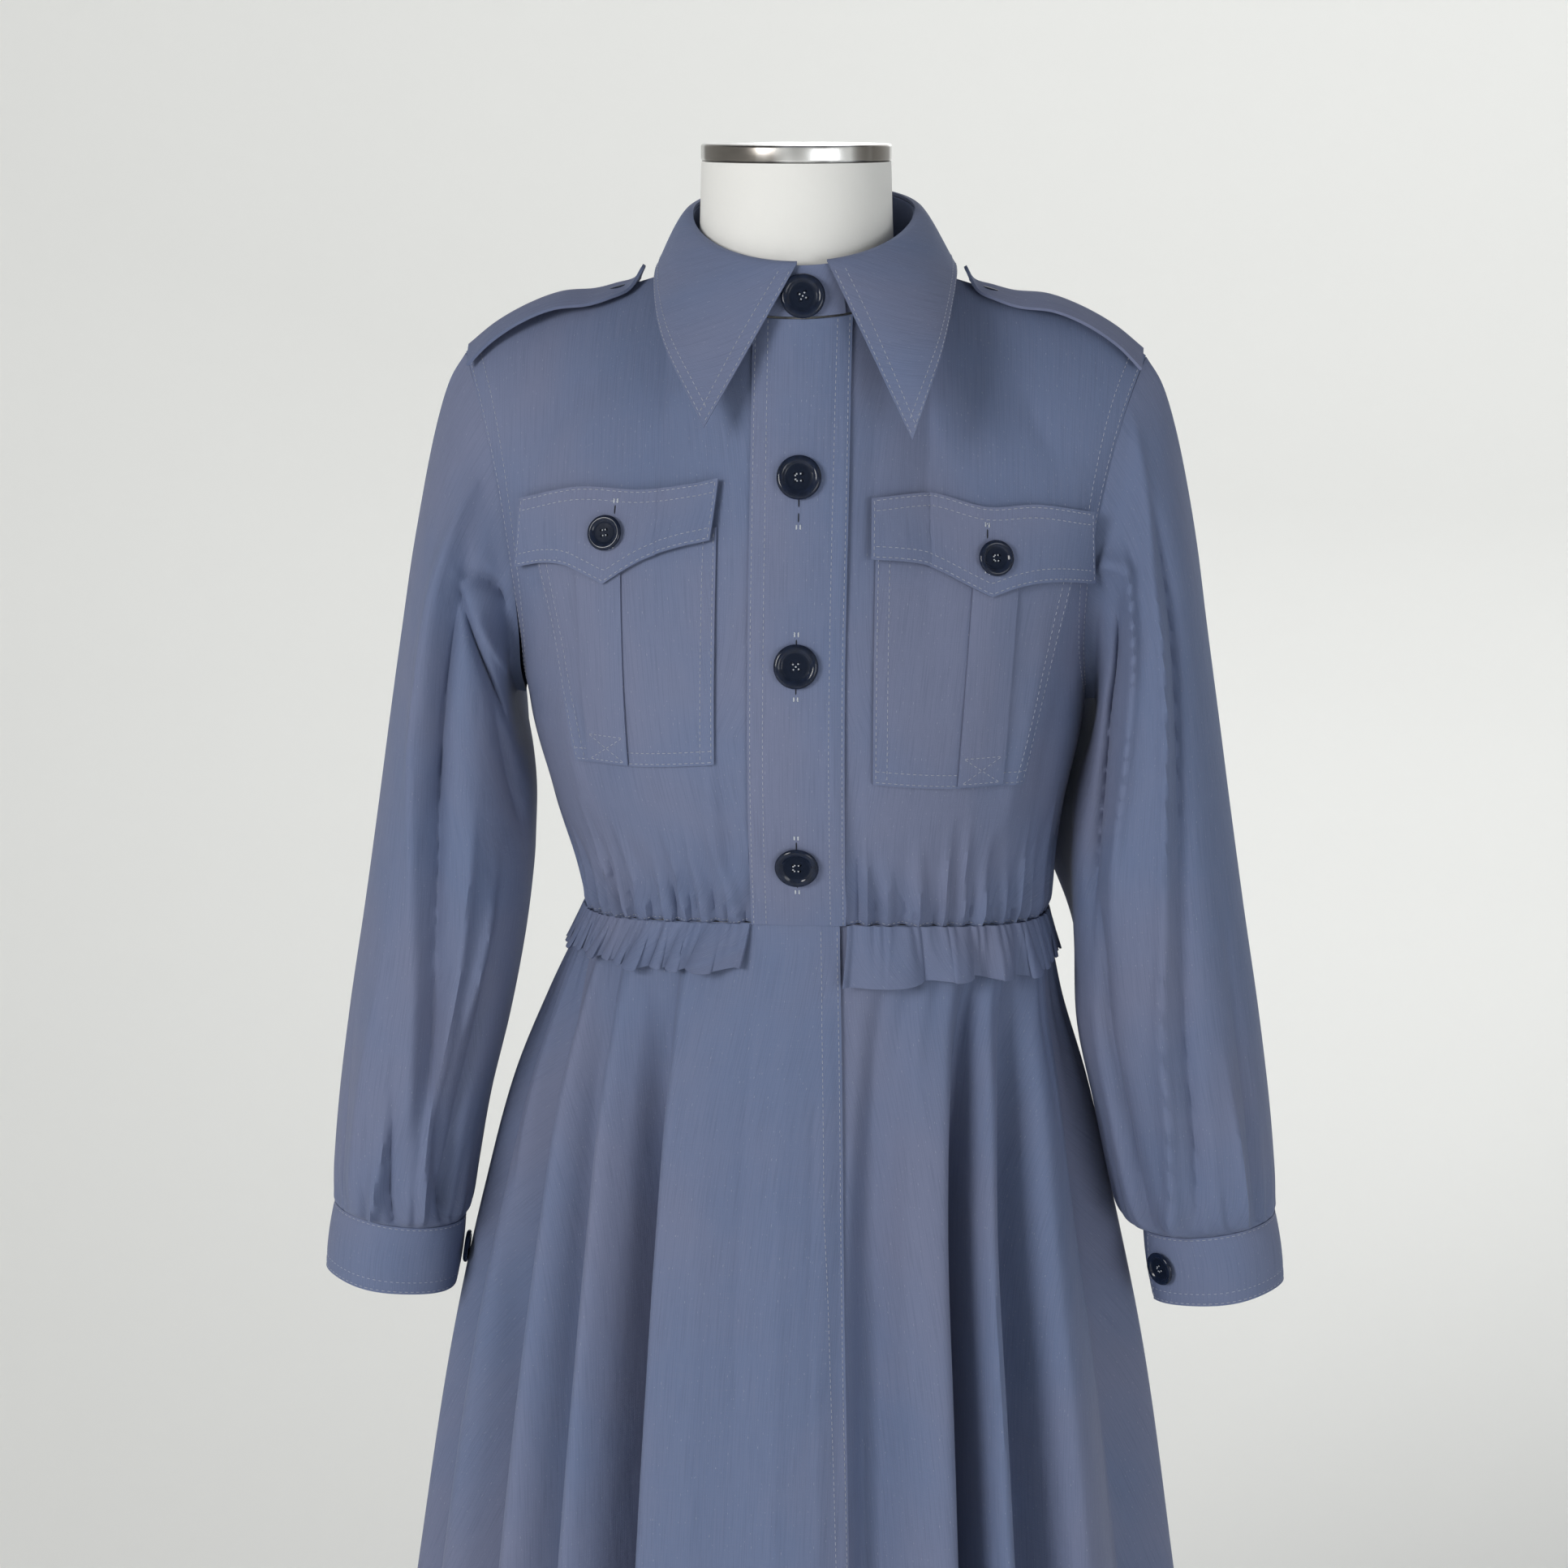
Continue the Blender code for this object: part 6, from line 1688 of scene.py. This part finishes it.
def buttonhole(name, place, u, v, length, wall):
    """Close cross stitches down both sides of a slit, long bars over its ends, and painted shade in
    it.
    """
    step = 0.01
    near = place(u + np.array([-step, step, 0, 0]), v + np.array([0, 0, -step, step]))
    wide, tall = (np.linalg.norm(near[k + 1] - near[k]) / (2 * step) for k in (0, 2))
    across, along_slit = [], []
    for k in range(int(length / HOLE_STITCH)):
        for side in (-1, 1):
            across.append(side * np.linspace(*HOLE_WIDTHS, HOLE_ROWS))
            along_slit.append(k * HOLE_STITCH - length / 2 + 0.0002 * math.sin(k * 2.1 + side))
    for end in (-1, 1):
        for k in range(6):
            across.append(np.linspace(-BAR / 2, BAR / 2, HOLE_ROWS) * (1 + 0.12 * math.sin(k * 2.7)))
            along_slit.append(end * (length / 2 + 0.0004 * k))
    flat = np.concatenate(across), np.repeat(along_slit, HOLE_ROWS)
    points, out = path_on(place, u + flat[0] / wide, v + flat[1] / tall)
    rows = list(zip(*(part.reshape(-1, HOLE_ROWS, 3) for part in (points, out))))
    stitches(name, rows, wall, 0.0011, 0.00030, BAR_THREAD)
    # The slit: a thin strip in the painted-shade colour, laid along the cloth.
    run = np.linspace(-length / 2, length / 2, 24)
    slit = path_on(place, np.full(24, u), v + run / tall)
    stitches(name + "_slit", [slit], wall, 0.0070, 0.00034, SLIT_SHADE)


def grid_spot(place, x, z):
    """The place in a piece's grid that lies nearest to the given x and height."""
    u, v = (part.ravel() for part in np.meshgrid(np.linspace(0, 1, 81), np.linspace(0, 1, 321)))
    points = place(u, v)
    nearest = np.argmin(np.hypot(points[:, 0] - x, points[:, 2] - z))
    return u[nearest], v[nearest]


for i, shift in enumerate(BAND_HOLE_SHIFTS):
    v = grid_spot(band_place, FRONT_X, BAND_BUTTONS[i][0] + shift)[1]
    buttonhole(f"buttonhole_{i + 2}", band_place, 0.5, v, BUTTONHOLE, DOUBLED_WALL)
for label, sign in SIDES.items():
    x, z = FLAP_BUTTON[label][:2]
    flap = POCKET_PLACES["flap", label]
    u, v = grid_spot(flap, FRONT_X + sign * (x - FLAP_HOLE_SHIFT[0]), z + FLAP_HOLE_SHIFT[1])
    buttonhole(f"buttonhole_flap_{label}", flap, u, v, BUTTONHOLE_SMALL, POCKET_WALL)


# Dress form
# A padded shell under a stretched off-white cover, seamless at the neck. It ends below the hips, and
# above the waist it lies just inside the cloth of the bodice.

FORM_EASE = 0.0045
FORM_EASE_REACH = 0.05
NECK_STEPS = 4
PLATE_BULGE = 0.006
NECK_AXIS = (-0.0040, -0.005)
FORM_HIPS = table(
    "height half_width front_depth back_depth",
    (0.800, 0.1480, 0.094, 0.104),
    (0.808, 0.1560, 0.100, 0.111),
    (0.850, 0.1610, 0.106, 0.119),
    (0.900, 0.1540, 0.101, 0.111),
    (0.950, 0.1410, 0.093, 0.096),
    (0.990, 0.1300, 0.088, 0.080),
)
NECK_RINGS = table(
    "share z half_width half_depth",
    (0.35, 1.4040, 0.0580, 0.0570),
    (0.70, 1.4220, 0.0558, 0.0553),
    (1.00, 1.4605, 0.0545, 0.0545),
)

FORM_COLUMNS = 61
FORM_ROWS = 40
FORM_SUNK = 0.0022
FORM_SUNK_REACH = 0.03
NECK_ROWS = 6

OFF_WHITE = (0.70, 0.70, 0.685)
HANDLED = (0.64, 0.64, 0.625)
COVER, shader, tree = tinted("form_cover", OFF_WHITE, 0.85, 9.0, 0.4, 0.7, OFF_WHITE, HANDLED, 3.0)
grain = node(tree, "ShaderNodeBump", {"Height": lumps_in(tree, 900.0), "Strength": 0.25})
grain.inputs["Distance"].default_value = 0.0003
tree.links.new(grain.outputs[0], shader.inputs["Normal"])
shader.inputs["Sheen Weight"].default_value = 0.15


def form_ease(share, height):
    """How far the form's skin lies inside the middle of the cloth, least at the shoulder seam."""
    off_seam = rise((SHOULDER - height) / FORM_EASE_REACH)
    at_neck = rise((NECK_SHARE - np.abs(share)) / (NECK_SHARE / NECK_STEPS) * 0.5 + 0.25)
    return WALL / 2 + GAP * 1.5 + (FORM_EASE - GAP * 1.5) * np.maximum(off_seam, at_neck)


def join_rings(faces, lower, upper):
    """Adds the faces between two closed rings of points."""
    for k in range(len(lower)):
        n = (k + 1) % len(lower)
        faces.append((lower[k], lower[n], upper[n], upper[k]))


# The hips, from the table, and then the chest, inside the bodice's cloth. Each ring is a front half,
# a point at the armhole's plate, a back half and the other plate's point.
FORM_SHARES = np.linspace(-1, 1, FORM_COLUMNS)
form_rings = []
for height, wide, front_depth, back_depth in zip(*FORM_HIPS.values()):
    turn = FORM_SHARES * math.pi / 2
    side = wide * np.sin(turn) + along(SWAY, "height", "x", height)
    level = np.full(FORM_COLUMNS, height)
    face = np.stack([side, -front_depth * np.cos(turn), level], -1)
    rear = np.stack([side, back_depth * np.cos(turn), level], -1)[::-1]
    form_rings.append(np.concatenate([face, face[-1:], rear, rear[-1:]]))
for height in np.linspace(WAIST, SHOULDER, FORM_ROWS):
    ease = form_ease(FORM_SHARES, height)[:, None]
    under_seam = FORM_SUNK * rise((height - SHOULDER + FORM_SUNK_REACH) / FORM_SUNK_REACH)
    halves = []
    for side in ("front", "back"):
        cloth, out = bodice(side, FORM_SHARES, height), bodice_normal(side, FORM_SHARES, height)
        halves.append(cloth - out * ease - np.array([0, 0, under_seam]))
    face, rear = halves[0], halves[1][::-1]
    plates = []
    for a, b, side in ((face[-1], rear[0], 1), (rear[-1], face[0], -1)):
        open_by = min(np.linalg.norm(a - b) / 0.1, 1)
        plates.append((a + b) / 2 + np.array([side * PLATE_BULGE * open_by, 0, 0]))
    form_rings.append(np.concatenate([face, plates[:1], rear, plates[1:]]))
around = len(form_rings[0])
verts = [tuple(p) for ring in form_rings for p in ring]
faces = [tuple(range(around))[::-1]]
for top in range(around, len(verts), around):
    join_rings(faces, range(top - around, top), range(top, top + around))

# The neck, from the neckline's points up to the cap.
on_neck = [k for k in range(FORM_COLUMNS) if abs(FORM_SHARES[k]) <= NECK_SHARE + 1e-6]
top = len(verts) - around
below = [top + k for k in on_neck] + [top + 2 * FORM_COLUMNS - k for k in on_neck[::-1][1:-1]]
base = np.array([verts[k] for k in below])
turn = np.arctan2(base[:, 0], -(base[:, 1] - NECK_AXIS[1]))
neck_keys = [base]
for share, z, wide, deep in zip(*NECK_RINGS.values()):
    x, y = NECK_AXIS[0] + wide * np.sin(turn), NECK_AXIS[1] - deep * np.cos(turn)
    lift = (base[:, 2] - base[:, 2].mean()) * (1 - share)
    neck_keys.append(np.stack([x, y, z + lift], -1))
rings = len(neck_keys) - 1
for at in np.linspace(0, rings, rings * NECK_ROWS + 1)[1:]:
    ring = through(np.array(neck_keys), np.full(len(below), at))
    row = range(len(verts), len(verts) + len(below))
    verts.extend(tuple(p) for p in ring)
    join_rings(faces, below, row)
    below = row
faces.append(tuple(below))
form, mesh = meshed("form_cover", verts, [], faces)
only(form)
bpy.ops.object.mode_set(mode="EDIT")
bpy.ops.mesh.select_all(action="SELECT")
bpy.ops.mesh.remove_doubles(threshold=1e-5)
bpy.ops.mesh.normals_make_consistent(inside=False)
bpy.ops.object.mode_set(mode="OBJECT")
bpy.ops.object.shade_smooth()
mesh.set_sharp_from_angle(angle=math.radians(50))
mesh.materials.append(COVER)
stand_for(form, "form_body")


# Neck cap
# A flat disc of polished chrome with a rolled edge, set on the top of the neck. Its colour has broad
# dark and bright bands of painted reflection.

# Painted reflections: the chrome's colour runs between a dark and a bright tone in broad noise bands,
# standing in for the room mirrored in it.
CHROME_REFLECTION_DARK = (0.20, 0.185, 0.17)
CHROME_REFLECTION_BRIGHT = (0.92, 0.92, 0.92)
CHROME, shader, tree = paint("cap_chrome", (0.86, 0.86, 0.86), 0.05, 1.0)
tree.links.new(ramp(tree, lumps_in(tree, 60.0, 3.0), -2.0, 8.0), shader.inputs["Roughness"])
reflection_bands = lumps_in(tree, 26.0, 2.0, (1.0, 1.0, 0.12))
painted_reflections = mixed(tree, ramp(tree, reflection_bands, 0.42, 0.56), CHROME_REFLECTION_DARK, CHROME_REFLECTION_BRIGHT)
tree.links.new(painted_reflections, shader.inputs["Base Color"])
cap_low, cap_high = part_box("neck_cap")
bpy.ops.object.select_all(action="DESELECT")
bpy.ops.mesh.primitive_cylinder_add(
    vertices=96,
    radius=(cap_high.x - cap_low.x) / 2,
    depth=cap_high.z - cap_low.z,
    location=(cap_low + cap_high) / 2,
)
cap = bpy.context.object
cap.name = cap.data.name = "neck_cap_band"
bpy.ops.object.transform_apply(location=True)
soften = cap.modifiers.new("edge", "BEVEL")
soften.width = 0.0016
soften.segments = 5
bpy.ops.object.modifier_apply(modifier="edge")
bpy.ops.object.shade_smooth()
cap.data.set_sharp_from_angle(angle=math.radians(50))
cap.data.materials.append(CHROME)
stand_for(cap, "neck_cap")


# Stand
# A steel pole in a round steel base, brushed upright. Both are the CAD's own solids in a better
# finish.

STEEL, shader, tree = paint("stand_steel", (0.60, 0.61, 0.63), 0.34, 1.0)
lines = lumps_in(tree, 1.0, 3.0, (700, 700, 9))
brush = node(tree, "ShaderNodeBump", {"Height": lines, "Strength": 0.2, "Distance": 0.0002})
tree.links.new(brush.outputs[0], shader.inputs["Normal"])
for name in ("stand_pole", "stand_base"):
    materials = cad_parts[name].data.materials
    materials.clear()
    materials.append(STEEL)
